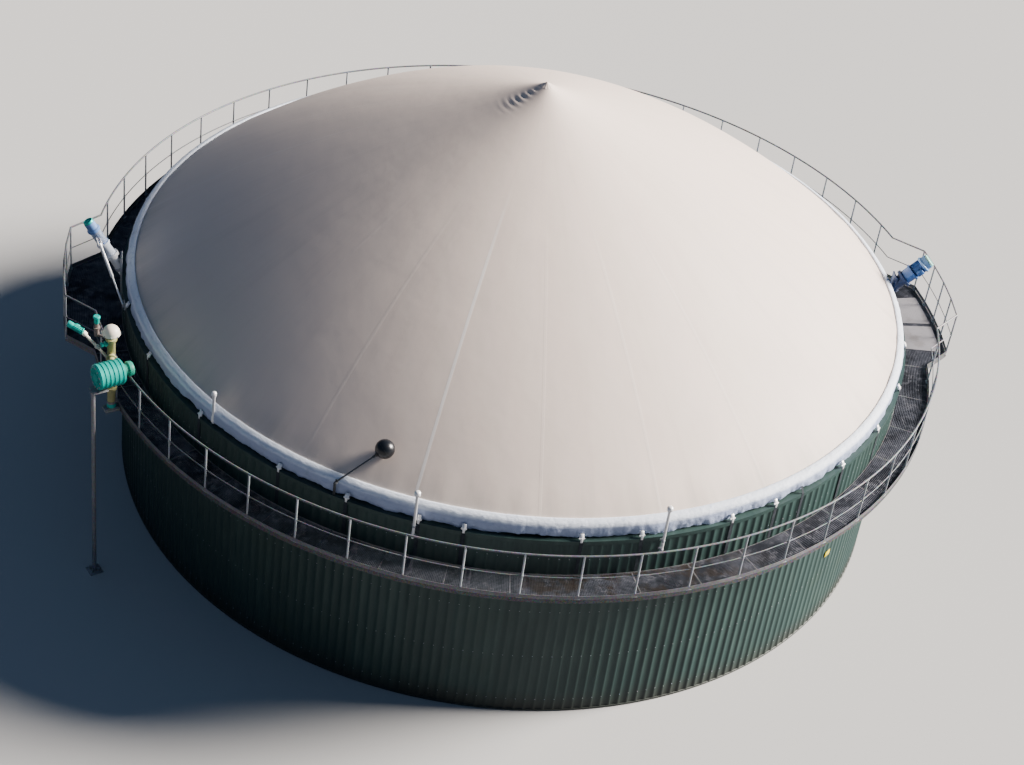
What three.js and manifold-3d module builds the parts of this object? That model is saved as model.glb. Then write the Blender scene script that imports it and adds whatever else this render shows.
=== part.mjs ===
// Biogas digester: a round clad tank with a tent-shaped membrane roof, a walkway round its rim and fittings.
// Millimetres and degrees, +Z up. The origin is on the ground at the tank's axis. Azimuth 0 is +X, through
// the right-hand service platform, and -90 is the front.
import * as THREE from "three";
import { mergeVertices } from "three/addons/utils/BufferGeometryUtils.js";
import Module from "manifold-3d";

const wasm = await Module();
wasm.setup();
const { Manifold, Mesh } = wasm;

// Driving dimensions
const SEAM = 0.3; // clearance between two pieces that touch
const FACET = 3.75; // one flat of the round wall
const ROUND = { fine: 24, medium: 16, coarse: 12 }; // flats round a pipe
const LAP = 10; // how far two shapes of one piece run into each other
const LEFT = 180; // azimuths of the two service platforms
const RIGHT = 0;
const WALL = { outer: 9000, inner: 8680, top: 4790, parts: 6 };
const FLOOR = { thickness: 250 };
const HEM = { outer: 8950, lip: 8850, inner: 8700, flangeTop: 4900, top: 5040, parts: 4 };
const ROOF = {
  eave: 4950, // height of the cone at its outer radius
  radius: 8940,
  rise: 4900,
  straight: 0.71, // share of the rise that is a straight cone
  bulge: 0.29, // share that the gas rounds off toward the rim
  bulgePower: 2.9,
  peak: 150, // extra height drawn up at the tip
  peakRadius: 450,
  thickness: 60, // both membranes and the air between them
  edge: 8846,
  foot: 8760,
  flat: 160, // radius of the flat under the tip
};
const TIP = { radius: 150, brim: 30, shoulder: 130, crown: 50, crownDrop: 5, top: 10000 };
const DECK = { outer: 9740, top: 3900, thickness: 60 };
const PLATFORM = { outer: 10300, half: 11.25, corner: 7.5 };
const GUSSET = { thickness: 40, drop: 420, foot: 60, nose: 60, setback: 60 };
const RAIL = { top: 5050, inset: 25, pipe: 42, knee: 30, kneeTop: 4480, toe: 10, toeHeight: 100, post: 40 };
const POSTS = 23; // posts round each half of the walkway
const MOUNT = { thickness: 50, width: 300, foot: 4150, top: 5230 };
const TUBE_FOOT = { r: 9120, z: 5000, behind: -0.6 }; // where each agitator's axis leaves its mount
const AGITATORS = {
  left: { az: LEFT, r: 9770, z: 6120, diameter: 240 },
  right: { az: RIGHT, r: 9780, z: 5680, diameter: 340 },
};
const COLLARS = [
  { from: 0.16, to: 0.22, proud: 90 },
  { from: 0.76, to: 0.82, proud: 60 },
];
const STAY = { az: -172.5, z: 4690, diameter: 70, end: 0.72, beyond: 1.2, foot: [40, 160, 180] };
const BALL = { radius: 200, az: -118.125, aside: 160, between: [8500, 7800], around: 20, over: 12 };
const ARM = { az: -121.7, diameter: 36, foot: [70, 70, 50] };
const ROD = { diameter: 60, standoff: 60, bottom: 4400, head: 5480, top: 5600, headDiameter: 130 };
const CLAMP = { width: 90, height: 50, levels: [4470, 4700] };
const RODS = { front: -78.75, left: -110.625 };
const STUB = { az: -142.5, diameter: 50, top: 5600, headDiameter: 110, headHeight: 100 };
const PLATE = { az: -45, z: 2100, size: [12, 200, 150] };
const RISER = { az: -157.5, r: 9900, diameter: 170, top: 5800, foot: [330, 200, 100] };
const CAP = [[0, 0], [180, 0], [180, 60], [140, 150], [70, 200], [0, 215]];
const DRUM = { az: -154, z: 5290, from: 9930, to: 10510, diameter: 560, hubFrom: 9680, hubDiameter: 330 };
const DUCT = { r: 10150, diameter: 150 };
const PROP = { r: 10560, diameter: 90, foot: [300, 300, 20], saddle: [330, 300, 40], saddleR: 10440 };
const BRANCH = { start: 5100, r: 10480, az: -158, z: 5950, diameter: 60 };
const MOTOR = { r: 10740, az: -158.9, z: 6120, from: 150, to: 130 };
const VALVES = {
  top: { r: 10100, az: -159.3, neck: 50, bottom: 5590, top: 6100, diameter: 110, rim: 150, rimHeight: 40 },
  side: { r: 10130, z: 5580, diameter: 120 },
};

// Finishes
const finish = (color, roughness, metalness) =>
  new THREE.MeshStandardMaterial({ color, roughness, metalness });
const CLADDING = finish(0x4f6b55, 0.55, 0.2);
const CONCRETE = finish(0x9a9890, 0.95, 0);
const BAND = finish(0xe6e8ea, 0.6, 0);
const MEMBRANE = finish(0xe4ddd2, 0.7, 0);
const GRATING = finish(0x75716b, 0.6, 0.6);
const GALVANISED = finish(0xa3a8aa, 0.45, 0.7);
const BLUE = finish(0x3b6fa8, 0.45, 0.2);
const PALE_BLUE = finish(0xc8d4e2, 0.45, 0.2);
const TEAL = finish(0x00806c, 0.45, 0.2);
const PIPE = finish(0xb9b884, 0.5, 0.2);
const CREAM = finish(0xe8d3b4, 0.5, 0.1);
const WHITE = finish(0xe9ecef, 0.5, 0.1);
const BLACK = finish(0x16181b, 0.5, 0);
const YELLOW = finish(0xd9b51c, 0.5, 0.1);

const group = new THREE.Group();

function add(name, geometry, material) {
  const mesh = new THREE.Mesh(geometry, material.clone());
  mesh.name = name;
  group.add(mesh);
}

function rad(degrees) {
  return (degrees * Math.PI) / 180;
}

// A point in plan at radius r and azimuth az, moved along the ring by aside.
function polar(r, az, aside = 0) {
  const a = rad(az) + aside / r;
  return new THREE.Vector2(r * Math.cos(a), r * Math.sin(a));
}

function spot(r, az, z) {
  const p = polar(r, az);
  return new THREE.Vector3(p.x, p.y, z);
}

function azimuths(from, to, steps) {
  return Array.from({ length: steps + 1 }, (unused, i) => from + ((to - from) * i) / steps);
}

// Radius just clear of the wall's cladding, in the middle of a flat or on the edge between two flats.
function onWall(az) {
  const steps = az / FACET;
  const onEdge = Math.abs(steps - Math.round(steps)) < 0.01;
  return WALL.outer * (onEdge ? 1 : Math.cos(rad(FACET / 2))) + SEAM;
}

// A plate between an inner and an outer path of [radius, azimuth], its ends cut on radii.
function between(inner, outer, z0, z1) {
  const edge = (path) =>
    path.map(([r, az], i) => {
      const first = i === 0 ? SEAM / 2 : 0;
      const last = i === path.length - 1 ? SEAM / 2 : 0;
      return polar(r, az, first - last);
    });
  const shape = new THREE.Shape([...edge(outer), ...edge(inner).reverse()]);
  const solid = new THREE.ExtrudeGeometry(shape, { depth: z1 - z0, bevelEnabled: false });
  return solid.translate(0, 0, z0);
}

function sector(r0, r1, [from, to], z0, z1) {
  const angles = azimuths(from, to, Math.round((to - from) / FACET));
  const ring = (r) => angles.map((az) => [r, az]);
  return between(ring(r0), ring(r1), z0, z1);
}

function turned(profile, segments) {
  const points = profile.map(([r, z]) => new THREE.Vector2(r, z));
  return new THREE.LatheGeometry([...points, points[0].clone()], segments).rotateX(Math.PI / 2);
}

// A block whose size is given out from the axis, along the ring and up.
function box(size, r, az, z) {
  const solid = new THREE.BoxGeometry(...size).rotateZ(rad(az));
  const p = spot(r, az, z);
  return solid.translate(p.x, p.y, p.z);
}

function tube(from, to, d0, d1 = d0, segments = ROUND.medium) {
  const axis = new THREE.Vector3().subVectors(to, from);
  const solid = new THREE.CylinderGeometry(d1 / 2, d0 / 2, axis.length(), segments);
  const upright = new THREE.Vector3(0, 1, 0);
  const turn = new THREE.Quaternion().setFromUnitVectors(upright, axis.clone().normalize());
  const middle = new THREE.Vector3().addVectors(from, to).multiplyScalar(0.5);
  return solid.applyQuaternion(turn).translate(middle.x, middle.y, middle.z);
}

function toManifold(geometry) {
  const bare = new THREE.BufferGeometry();
  bare.setAttribute("position", geometry.getAttribute("position"));
  bare.setIndex(geometry.getIndex());
  const welded = mergeVertices(bare, 1e-3);
  const mesh = new Mesh({
    numProp: 3,
    vertProperties: new Float32Array(welded.getAttribute("position").array),
    triVerts: new Uint32Array(welded.getIndex().array),
  });
  return new Manifold(mesh);
}

function fromManifold(solid) {
  const mesh = solid.getMesh();
  const geometry = new THREE.BufferGeometry();
  geometry.setAttribute("position", new THREE.BufferAttribute(new Float32Array(mesh.vertProperties), 3));
  geometry.setIndex(Array.from(mesh.triVerts));
  geometry.computeVertexNormals();
  return geometry;
}

function joined(...geometries) {
  return fromManifold(Manifold.union(geometries.map(toManifold)));
}

function without(geometry, ...tools) {
  return fromManifold(tools.reduce((solid, tool) => solid.subtract(toManifold(tool)), toManifold(geometry)));
}

// Floor and clad wall
const floorR = WALL.inner - SEAM;
const floorProfile = [[0, 0], [floorR, 0], [floorR, FLOOR.thickness], [0, FLOOR.thickness]];
add("floor_slab", turned(floorProfile, 360 / FACET), CONCRETE);

function lengths(parts) {
  return azimuths(0, 360, parts).slice(0, -1).map((from) => [from, from + 360 / parts]);
}

lengths(WALL.parts).forEach((ends, i) => {
  add(`wall_segment_${i + 1}`, sector(WALL.inner, WALL.outer, ends, 0, WALL.top - SEAM), CLADDING);
});

// Hem: a flange on the wall's rim and the upstand in front of the membrane's edge
lengths(HEM.parts).forEach((ends, i) => {
  const flange = sector(HEM.inner, HEM.outer, ends, WALL.top, HEM.flangeTop);
  const upstand = sector(HEM.lip, HEM.outer, ends, WALL.top, HEM.top);
  add(`roof_hem_${i + 1}`, joined(flange, upstand), BAND);
});

// Membrane roof
function roofHeight(r) {
  const t = r / ROOF.radius;
  const cone = 1 - ROOF.straight * t - ROOF.bulge * t ** ROOF.bulgePower;
  return ROOF.eave + ROOF.rise * cone + ROOF.peak * Math.exp(-r / ROOF.peakRadius);
}

function membrane() {
  const outside = [ROOF.edge, ...BALL.between, 6900, 6000, 5000, 3900, 2700, 1500, 800, 400, ROOF.flat];
  const inside = [ROOF.flat, 500, 1500, 3300, 5000, 6500, 7800, ROOF.foot];
  const flat = roofHeight(ROOF.flat);
  const profile = [
    [0, flat - ROOF.thickness],
    ...inside.map((r) => [r, roofHeight(r) - ROOF.thickness]),
    [ROOF.foot, HEM.flangeTop + SEAM],
    [ROOF.edge, HEM.flangeTop + SEAM],
    ...outside.map((r) => [r, roofHeight(r)]),
    [0, flat],
  ];
  return turned(profile, 360 / FACET);
}

function tip() {
  const foot = roofHeight(ROOF.flat) + SEAM;
  const { radius, brim, shoulder, crown, crownDrop, top } = TIP;
  const profile = [[0, foot], [radius, foot], [shoulder, foot + brim], [crown, top - crownDrop], [0, top]];
  return turned(profile, ROUND.fine);
}

add("roof_membrane", membrane(), MEMBRANE);
add("roof_tip", tip(), MEMBRANE);

// A three-cornered console under the deck, flat against the middle of one of the wall's flats.
function gusset(az, reach) {
  const top = DECK.top - DECK.thickness / 2;
  const back = onWall(FACET / 2);
  const corners = [
    [back, top - GUSSET.drop],
    [back + GUSSET.foot, top - GUSSET.drop],
    [reach, top - GUSSET.nose],
    [reach, top],
    [back, top],
  ];
  const shape = new THREE.Shape(corners.map(([x, y]) => new THREE.Vector2(x, y)));
  const solid = new THREE.ExtrudeGeometry(shape, { depth: GUSSET.thickness, bevelEnabled: false });
  return solid.rotateX(Math.PI / 2).translate(0, GUSSET.thickness / 2, 0).rotateZ(rad(az));
}

function walkway(from, to) {
  const deck = sector(WALL.outer + SEAM, DECK.outer, [from, to], DECK.top - DECK.thickness, DECK.top);
  const flats = Math.round((to - from) / FACET);
  const consoles = [];
  for (let k = 1; k < flats; k += 2) {
    consoles.push(gusset(from + (k + 0.5) * FACET, DECK.outer - GUSSET.setback));
  }
  return joined(deck, ...consoles);
}

// The outline of a service platform, with its two slanted corners.
function platformPath(middle, inset) {
  const span = azimuths(-PLATFORM.half, PLATFORM.half, (2 * PLATFORM.half) / FACET);
  const radius = (a) => (Math.abs(a) > PLATFORM.corner ? DECK.outer : PLATFORM.outer);
  return span.map((a) => [radius(a) - inset, middle + a]);
}

function platform(middle) {
  const outer = platformPath(middle, 0);
  const inner = outer.map(([, az]) => [WALL.outer + SEAM, az]);
  const plate = between(inner, outer, DECK.top - DECK.thickness, DECK.top);
  const flats = (2 * PLATFORM.half) / FACET;
  const consoles = azimuths(-(flats - 1) / 2, (flats - 1) / 2, flats - 1).map((k) => {
    const corner = Math.abs(k) * FACET > PLATFORM.corner;
    return gusset(middle + k * FACET, (corner ? DECK.outer : PLATFORM.outer) - 2 * GUSSET.setback);
  });
  return joined(plate, ...consoles);
}

function band(path, width, z0, z1) {
  const aside = (d) => path.map(([r, az]) => [r + d, az]);
  return between(aside(-width / 2), aside(width / 2), z0, z1);
}

function railing(path, posts) {
  const foot = DECK.top + SEAM;
  const top = band(path, RAIL.pipe, RAIL.top - RAIL.pipe, RAIL.top);
  const knee = band(path, RAIL.knee, RAIL.kneeTop - RAIL.knee, RAIL.kneeTop);
  const toe = band(path, RAIL.toe, foot, foot + RAIL.toeHeight);
  const height = RAIL.top - RAIL.pipe / 2 - foot;
  const uprights = posts.map(([r, az]) => box([RAIL.post, RAIL.post, height], r, az, foot + height / 2));
  return joined(top, knee, toe, ...uprights);
}

// Walkway and railings, round the back and round the front between the two platforms
const halfSpan = 180 - 2 * PLATFORM.half;
const postPitch = halfSpan / POSTS;
const railR = DECK.outer - RAIL.inset;
const halves = [["back", PLATFORM.half], ["front", LEFT + PLATFORM.half]];
for (const [side, from] of halves) {
  const middle = from + halfSpan / 2;
  add(`walkway_${side}_1`, walkway(from, middle), GRATING);
  add(`walkway_${side}_2`, walkway(middle, from + halfSpan), GRATING);
  const firstPosts = Math.ceil(POSTS / 2);
  const joint = from + firstPosts * postPitch;
  const runs = [[from, joint, firstPosts], [joint, from + halfSpan, POSTS - firstPosts]];
  runs.forEach(([start, end, count], i) => {
    const path = azimuths(start, end, 2 * count).map((az) => [railR, az]);
    const posts = path.filter((unused, k) => k % 2 === 1);
    add(`railing_${side}_${i + 1}`, railing(path, posts), GALVANISED);
  });
}

for (const [side, middle] of [["left", LEFT], ["right", RIGHT]]) {
  const path = platformPath(middle, RAIL.inset);
  add(`platform_${side}`, platform(middle), GRATING);
  add(`platform_railing_${side}`, railing(path, path.slice(1, -1)), GALVANISED);
}

// Agitators: an inclined drive tube on a plate bolted to the wall above each platform
function mountPlate(az) {
  const size = [MOUNT.thickness, MOUNT.width, MOUNT.top - MOUNT.foot];
  return box(size, onWall(az) + MOUNT.thickness / 2, az, (MOUNT.top + MOUNT.foot) / 2);
}

// A point on a tube's axis, as a share of the way from its mount to its outer end.
function alongTube({ az, r, z }, share) {
  return new THREE.Vector3().lerpVectors(spot(TUBE_FOOT.r, az, TUBE_FOOT.z), spot(r, az, z), share);
}

// The tube starts behind its mount and is cut off flush with the mount's outer face.
function agitator(place) {
  const straight = tube(alongTube(place, TUBE_FOOT.behind), alongTube(place, 1), place.diameter);
  const collars = COLLARS.map(({ from, to, proud }) =>
    tube(alongTube(place, from), alongTube(place, to), place.diameter + proud),
  );
  const out = polar(1, place.az);
  const face = onWall(place.az) + MOUNT.thickness + SEAM;
  return fromManifold(toManifold(joined(straight, ...collars)).trimByPlane([out.x, out.y, 0], face));
}

add("agitator_left", agitator(AGITATORS.left), PALE_BLUE);
add("agitator_left_mount", mountPlate(LEFT), GALVANISED);
add("agitator_right", agitator(AGITATORS.right), BLUE);
add("agitator_right_mount", mountPlate(RIGHT), BLUE);

function stay() {
  const { left } = AGITATORS;
  const foot = box(STAY.foot, onWall(STAY.az) + STAY.foot[0] / 2, STAY.az, STAY.z);
  const rod = tube(
    spot(onWall(STAY.az) + STAY.foot[0], STAY.az, STAY.z),
    alongTube(left, STAY.end),
    STAY.diameter,
    STAY.diameter,
    ROUND.coarse,
  );
  const hole = tube(alongTube(left, 0), alongTube(left, STAY.beyond), left.diameter + 2 * SEAM);
  return without(joined(foot, rod), hole);
}

add("agitator_left_stay", stay(), WHITE);

// Level ball resting on one flat of the membrane, aside of its middle, and its arm from the hem
function ballCentre() {
  const [low, high] = BALL.between;
  const flat = Math.cos(rad(FACET / 2));
  const rise = roofHeight(high) - roofHeight(low);
  const out = new THREE.Vector2(rise, (low - high) * flat).normalize().multiplyScalar(BALL.radius + SEAM);
  const z = (roofHeight(low) + roofHeight(high)) / 2 + out.y;
  const across = polar(BALL.aside, BALL.az + 90);
  return spot(((low + high) / 2) * flat + out.x, BALL.az, z).add(new THREE.Vector3(across.x, across.y, 0));
}

function sphereAt(p, r) {
  return new THREE.SphereGeometry(r, BALL.around, BALL.over).rotateX(Math.PI / 2).translate(p.x, p.y, p.z);
}

function ballArm() {
  const r = (HEM.outer + HEM.lip) / 2;
  const foot = box(ARM.foot, r, ARM.az, HEM.top + SEAM + ARM.foot[2] / 2);
  const rod = tube(spot(r, ARM.az, HEM.top + ARM.foot[2]), ballCentre(), ARM.diameter);
  return without(joined(foot, rod), sphereAt(ballCentre(), BALL.radius + SEAM));
}

add("level_ball", sphereAt(ballCentre(), BALL.radius), BLACK);
add("level_ball_arm", ballArm(), BLACK);

// Upright vent rods clamped to the wall, and one that stands on the hem
function ventRod(az) {
  const r = onWall(az) + ROD.standoff;
  const rod = tube(spot(r, az, ROD.bottom), spot(r, az, ROD.head), ROD.diameter);
  const head = tube(spot(r, az, ROD.head - LAP), spot(r, az, ROD.top), ROD.headDiameter);
  const clamps = CLAMP.levels.map((z) =>
    box([ROD.standoff, CLAMP.width, CLAMP.height], onWall(az) + ROD.standoff / 2, az, z),
  );
  return joined(rod, head, ...clamps);
}

for (const [side, az] of Object.entries(RODS)) {
  add(`vent_rod_${side}`, ventRod(az), WHITE);
}

function ventStub() {
  const r = (HEM.outer + HEM.lip) / 2;
  const at = (z) => spot(r, STUB.az, z);
  const neck = STUB.top - STUB.headHeight;
  const stem = tube(at(HEM.top + SEAM), at(neck + LAP), STUB.diameter);
  return joined(stem, tube(at(neck), at(STUB.top), STUB.headDiameter));
}

add("vent_stub_left", ventStub(), WHITE);

// Plain plate on the wall
add("wall_plate", box(PLATE.size, onWall(PLATE.az) + PLATE.size[0] / 2, PLATE.az, PLATE.z), YELLOW);

// Feed gear outside the walkway: riser, drum and the duct between them
const riserAt = (z) => spot(RISER.r, RISER.az, z);
const drumAt = (r) => spot(r, DRUM.az, DRUM.z);

function riser() {
  const pipe = tube(riserAt(DECK.top), riserAt(RISER.top), RISER.diameter);
  const footR = DECK.outer + SEAM + RISER.foot[0] / 2;
  const foot = box(RISER.foot, footR, RISER.az, DECK.top - DECK.thickness / 2);
  const duct = tube(riserAt(DRUM.z), drumAt(DUCT.r), DUCT.diameter);
  const around = DRUM.diameter + 2 * SEAM;
  const drumHole = tube(drumAt(DRUM.from - LAP), drumAt(DRUM.to), around, around, ROUND.fine);
  return without(joined(pipe, foot, duct), drumHole);
}

function drum() {
  const body = tube(drumAt(DRUM.from), drumAt(DRUM.to), DRUM.diameter, DRUM.diameter, ROUND.fine);
  return joined(body, tube(drumAt(DRUM.hubFrom), drumAt(DRUM.from + LAP), DRUM.hubDiameter));
}

function prop() {
  const top = DRUM.z - DRUM.diameter / 2 - SEAM;
  const at = (z) => spot(PROP.r, DRUM.az, z);
  const post = tube(at(0), at(top - PROP.saddle[2] / 2), PROP.diameter);
  const foot = box(PROP.foot, PROP.r, DRUM.az, PROP.foot[2] / 2);
  return joined(post, foot, box(PROP.saddle, PROP.saddleR, DRUM.az, top - PROP.saddle[2] / 2));
}

add("riser_pipe", riser(), PIPE);
add("riser_cap", turned(CAP, ROUND.fine).translate(...riserAt(RISER.top + SEAM).toArray()), CREAM);
add("feed_drum", drum(), TEAL);
add("feed_post", prop(), GALVANISED);

// Branch pipe with its motor, and the two valves
const branchEnd = spot(BRANCH.r, BRANCH.az, BRANCH.z);
const branch = tube(riserAt(BRANCH.start), branchEnd, BRANCH.diameter, BRANCH.diameter, ROUND.coarse);
const riserHole = tube(riserAt(DECK.top), riserAt(RISER.top), RISER.diameter + 2 * SEAM);
const ductHole = tube(riserAt(DRUM.z), drumAt(DUCT.r), DUCT.diameter + 2 * SEAM);

function motor() {
  const axis = new THREE.Vector3().subVectors(branchEnd, riserAt(BRANCH.start)).normalize();
  const start = branchEnd.clone().addScaledVector(axis, SEAM);
  const body = tube(start, spot(MOTOR.r, MOTOR.az, MOTOR.z), MOTOR.from, MOTOR.to);
  return fromManifold(toManifold(body).trimByPlane(axis.toArray(), axis.dot(start)));
}

function topValve() {
  const { r, az, neck, bottom, top, diameter, rim, rimHeight } = VALVES.top;
  const link = tube(riserAt(bottom + neck), spot(r, az, bottom + neck), neck, neck, ROUND.coarse);
  const stem = tube(spot(r, az, bottom), spot(r, az, top), diameter);
  const crown = tube(spot(r, az, top - rimHeight), spot(r, az, top), rim);
  return without(joined(link, stem, crown), riserHole);
}

function sideValve() {
  const { r, z, diameter } = VALVES.side;
  return without(tube(riserAt(z), spot(r, RISER.az, z), diameter), riserHole);
}

add("branch_pipe", without(branch, riserHole, ductHole), PIPE);
add("branch_motor", motor(), TEAL);
add("valve_top", topValve(), TEAL);
add("valve_side", sideValve(), TEAL);

export default group;
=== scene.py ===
import logging
import math
from dataclasses import dataclass
from enum import Enum
from typing import Any, Callable, Iterable, Sequence

import bmesh
import bpy
from mathutils import Matrix, Vector, noise


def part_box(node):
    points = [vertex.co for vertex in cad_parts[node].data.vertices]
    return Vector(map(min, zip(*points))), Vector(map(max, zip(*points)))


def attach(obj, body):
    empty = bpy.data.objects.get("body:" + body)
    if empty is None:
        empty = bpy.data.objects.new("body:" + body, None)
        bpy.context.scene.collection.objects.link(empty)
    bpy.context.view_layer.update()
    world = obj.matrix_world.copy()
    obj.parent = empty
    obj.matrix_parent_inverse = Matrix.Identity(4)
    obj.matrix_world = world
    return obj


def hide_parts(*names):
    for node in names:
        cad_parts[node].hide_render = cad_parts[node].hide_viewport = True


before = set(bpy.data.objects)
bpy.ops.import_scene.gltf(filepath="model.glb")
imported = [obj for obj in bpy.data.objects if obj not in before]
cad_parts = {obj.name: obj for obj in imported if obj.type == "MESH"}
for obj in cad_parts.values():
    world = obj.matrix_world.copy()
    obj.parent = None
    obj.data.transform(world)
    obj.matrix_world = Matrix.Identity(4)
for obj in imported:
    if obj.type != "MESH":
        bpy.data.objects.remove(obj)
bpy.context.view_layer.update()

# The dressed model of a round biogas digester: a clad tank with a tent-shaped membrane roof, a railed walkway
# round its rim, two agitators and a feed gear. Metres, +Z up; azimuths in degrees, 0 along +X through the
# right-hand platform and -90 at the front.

Pair = tuple[float, float]
Triple = tuple[float, float, float]

log = logging.getLogger("digester")

DEGREES = 180 / math.pi  # in a radian
FACET = 3.75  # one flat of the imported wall, in degrees
WALL_R = 9.0
DECK_R = 9.74
DECK_Z = 3.9
PLATFORM_R = 10.3
PLATFORM_HALF = 11.25
PLATFORM_CORNER = 7.5
RAIL_TOP = 5.05
RAIL_INSET = 0.025
LEFT = 180.0
RIGHT = 0.0
ROOF_R = 8.94
SEAMS = 22  # membrane panels
SEAM_AT = -111.4  # azimuth of one weld between two panels


class Slot(Enum):
    """The record's material slots."""

    CONCRETE = "concrete"
    CLADDING = "cladding"
    HEM = "hem"
    MEMBRANE = "membrane"
    GRATING = "grating"
    GALVANISED = "galvanised"
    BLUE = "blue"
    PALE_BLUE = "pale_blue"
    TEAL = "teal"
    PIPE = "pipe"
    CREAM = "cream"
    WHITE = "white"
    BLACK = "black"
    YELLOW = "yellow"


def rgb(red: int, green: int, blue: int) -> Triple:
    """Return a screen colour of 0 to 255 as linear light."""
    shares = (red / 255, green / 255, blue / 255)
    return tuple(c / 12.92 if c <= 0.04045 else ((c + 0.055) / 1.055) ** 2.4 for c in shares)


def around(radius: float, azimuth: float, height: float) -> Vector:
    """Return the point at a radius, azimuth and height."""
    turn = math.radians(azimuth)
    return Vector((radius * math.cos(turn), radius * math.sin(turn), height))


def apart(azimuth: float, other: float) -> float:
    """Return how far an azimuth lies from another, from -180 to 180 degrees."""
    return (azimuth - other + 180) % 360 - 180


def moved(x: float, y: float, z: float) -> Matrix:
    """Return the move by x, y and z."""
    return Matrix.Translation((x, y, z))


def turned(degrees: float, axis: str = "Z") -> Matrix:
    """Return the turn about an axis."""
    return Matrix.Rotation(math.radians(degrees), 4, axis)


def fan(count: int, first: float = 0.0) -> list[Matrix]:
    """Return the even turns about Z that share out a circle, beginning at that part of a share."""
    return [Matrix.Rotation(math.tau * (k + first) / count, 4, "Z") for k in range(count)]


X_DOWN = turned(90, "Y")  # turns a place's X downward
X_UP = turned(-90, "Y")


def outward(radius: float, azimuth: float, height: float) -> Matrix:
    """Return the place there, its X pointing outward and its Z up."""
    return Matrix.Translation(around(radius, azimuth, height)) @ turned(azimuth)


def along(start: Vector, end: Vector) -> Matrix:
    """Return the place at start whose Z runs towards end."""
    return Matrix.Translation(start) @ (end - start).to_track_quat("Z", "Y").to_matrix().to_4x4()


def ring(radius: float, height: float, pipe: float, sides: int = 10) -> list[Pair]:
    """Return the round section of a pipe that is bent round the tank.

    Args:
        radius: radius of the pipe's centre from the tank's axis.
        height: height of its centre.
        pipe: the pipe's own radius.
        sides: flats round the pipe.

    Returns:
        The section as pairs of radius and height.
    """
    turns = [math.tau * k / sides for k in range(sides)]
    return [(radius + pipe * math.cos(t), height + pipe * math.sin(t)) for t in turns]


def slab(inner: float, outer: float, low: float, high: float) -> list[Pair]:
    """Return the section between two radii and two heights."""
    return [(inner, low), (outer, low), (outer, high), (inner, high)]


def smooth(value: float, low: float, high: float) -> float:
    """Return 0 below low, 1 above high and a smooth rise between them."""
    t = min(max((value - low) / (high - low), 0.0), 1.0)
    return t * t * (3 - 2 * t)


def spread(start: float, end: float, steps: int) -> list[float]:
    """Return steps + 1 even values from start to end."""
    return [start + (end - start) * k / steps for k in range(steps + 1)]


class Port:
    """A value in a shader; arithmetic on it adds Math nodes."""

    def __init__(self, shader: "Shader", socket: bpy.types.NodeSocket) -> None:
        """Wrap a socket of the shader."""
        self.shader = shader
        self.socket = socket

    def math(self, operation: str, *values: Any) -> "Port":
        """Return a Math node's result for these values."""
        return self.shader.node("ShaderNodeMath", {"operation": operation}, values)

    def __add__(self, other: Any) -> "Port":
        """Return self + other."""
        return self.math("ADD", self, other)

    __radd__ = __add__

    def __sub__(self, other: Any) -> "Port":
        """Return self - other."""
        return self.math("SUBTRACT", self, other)

    def __rsub__(self, other: Any) -> "Port":
        """Return other - self."""
        return self.math("SUBTRACT", other, self)

    def __mul__(self, other: Any) -> "Port":
        """Return self * other."""
        return self.math("MULTIPLY", self, other)

    __rmul__ = __mul__

    def floor(self) -> "Port":
        """Return the whole part."""
        return self.math("FLOOR", self)

    def part(self) -> "Port":
        """Return the part after the point."""
        return self.math("FRACT", self)

    def size(self) -> "Port":
        """Return the value without its sign."""
        return self.math("ABSOLUTE", self)

    def rise(self, low: float, high: float) -> "Port":
        """Return a smooth rise of the value.

        Args:
            low: where it is 0; above high, the rise is a fall.
            high: where it is 1.

        Returns:
            The rise, from 0 to 1.
        """
        if low > high:
            return 1 - self.rise(high, low)
        inputs = {"Value": self, "From Min": low, "From Max": high}
        return self.shader.node("ShaderNodeMapRange", {"interpolation_type": "SMOOTHSTEP"}, inputs)


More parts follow.
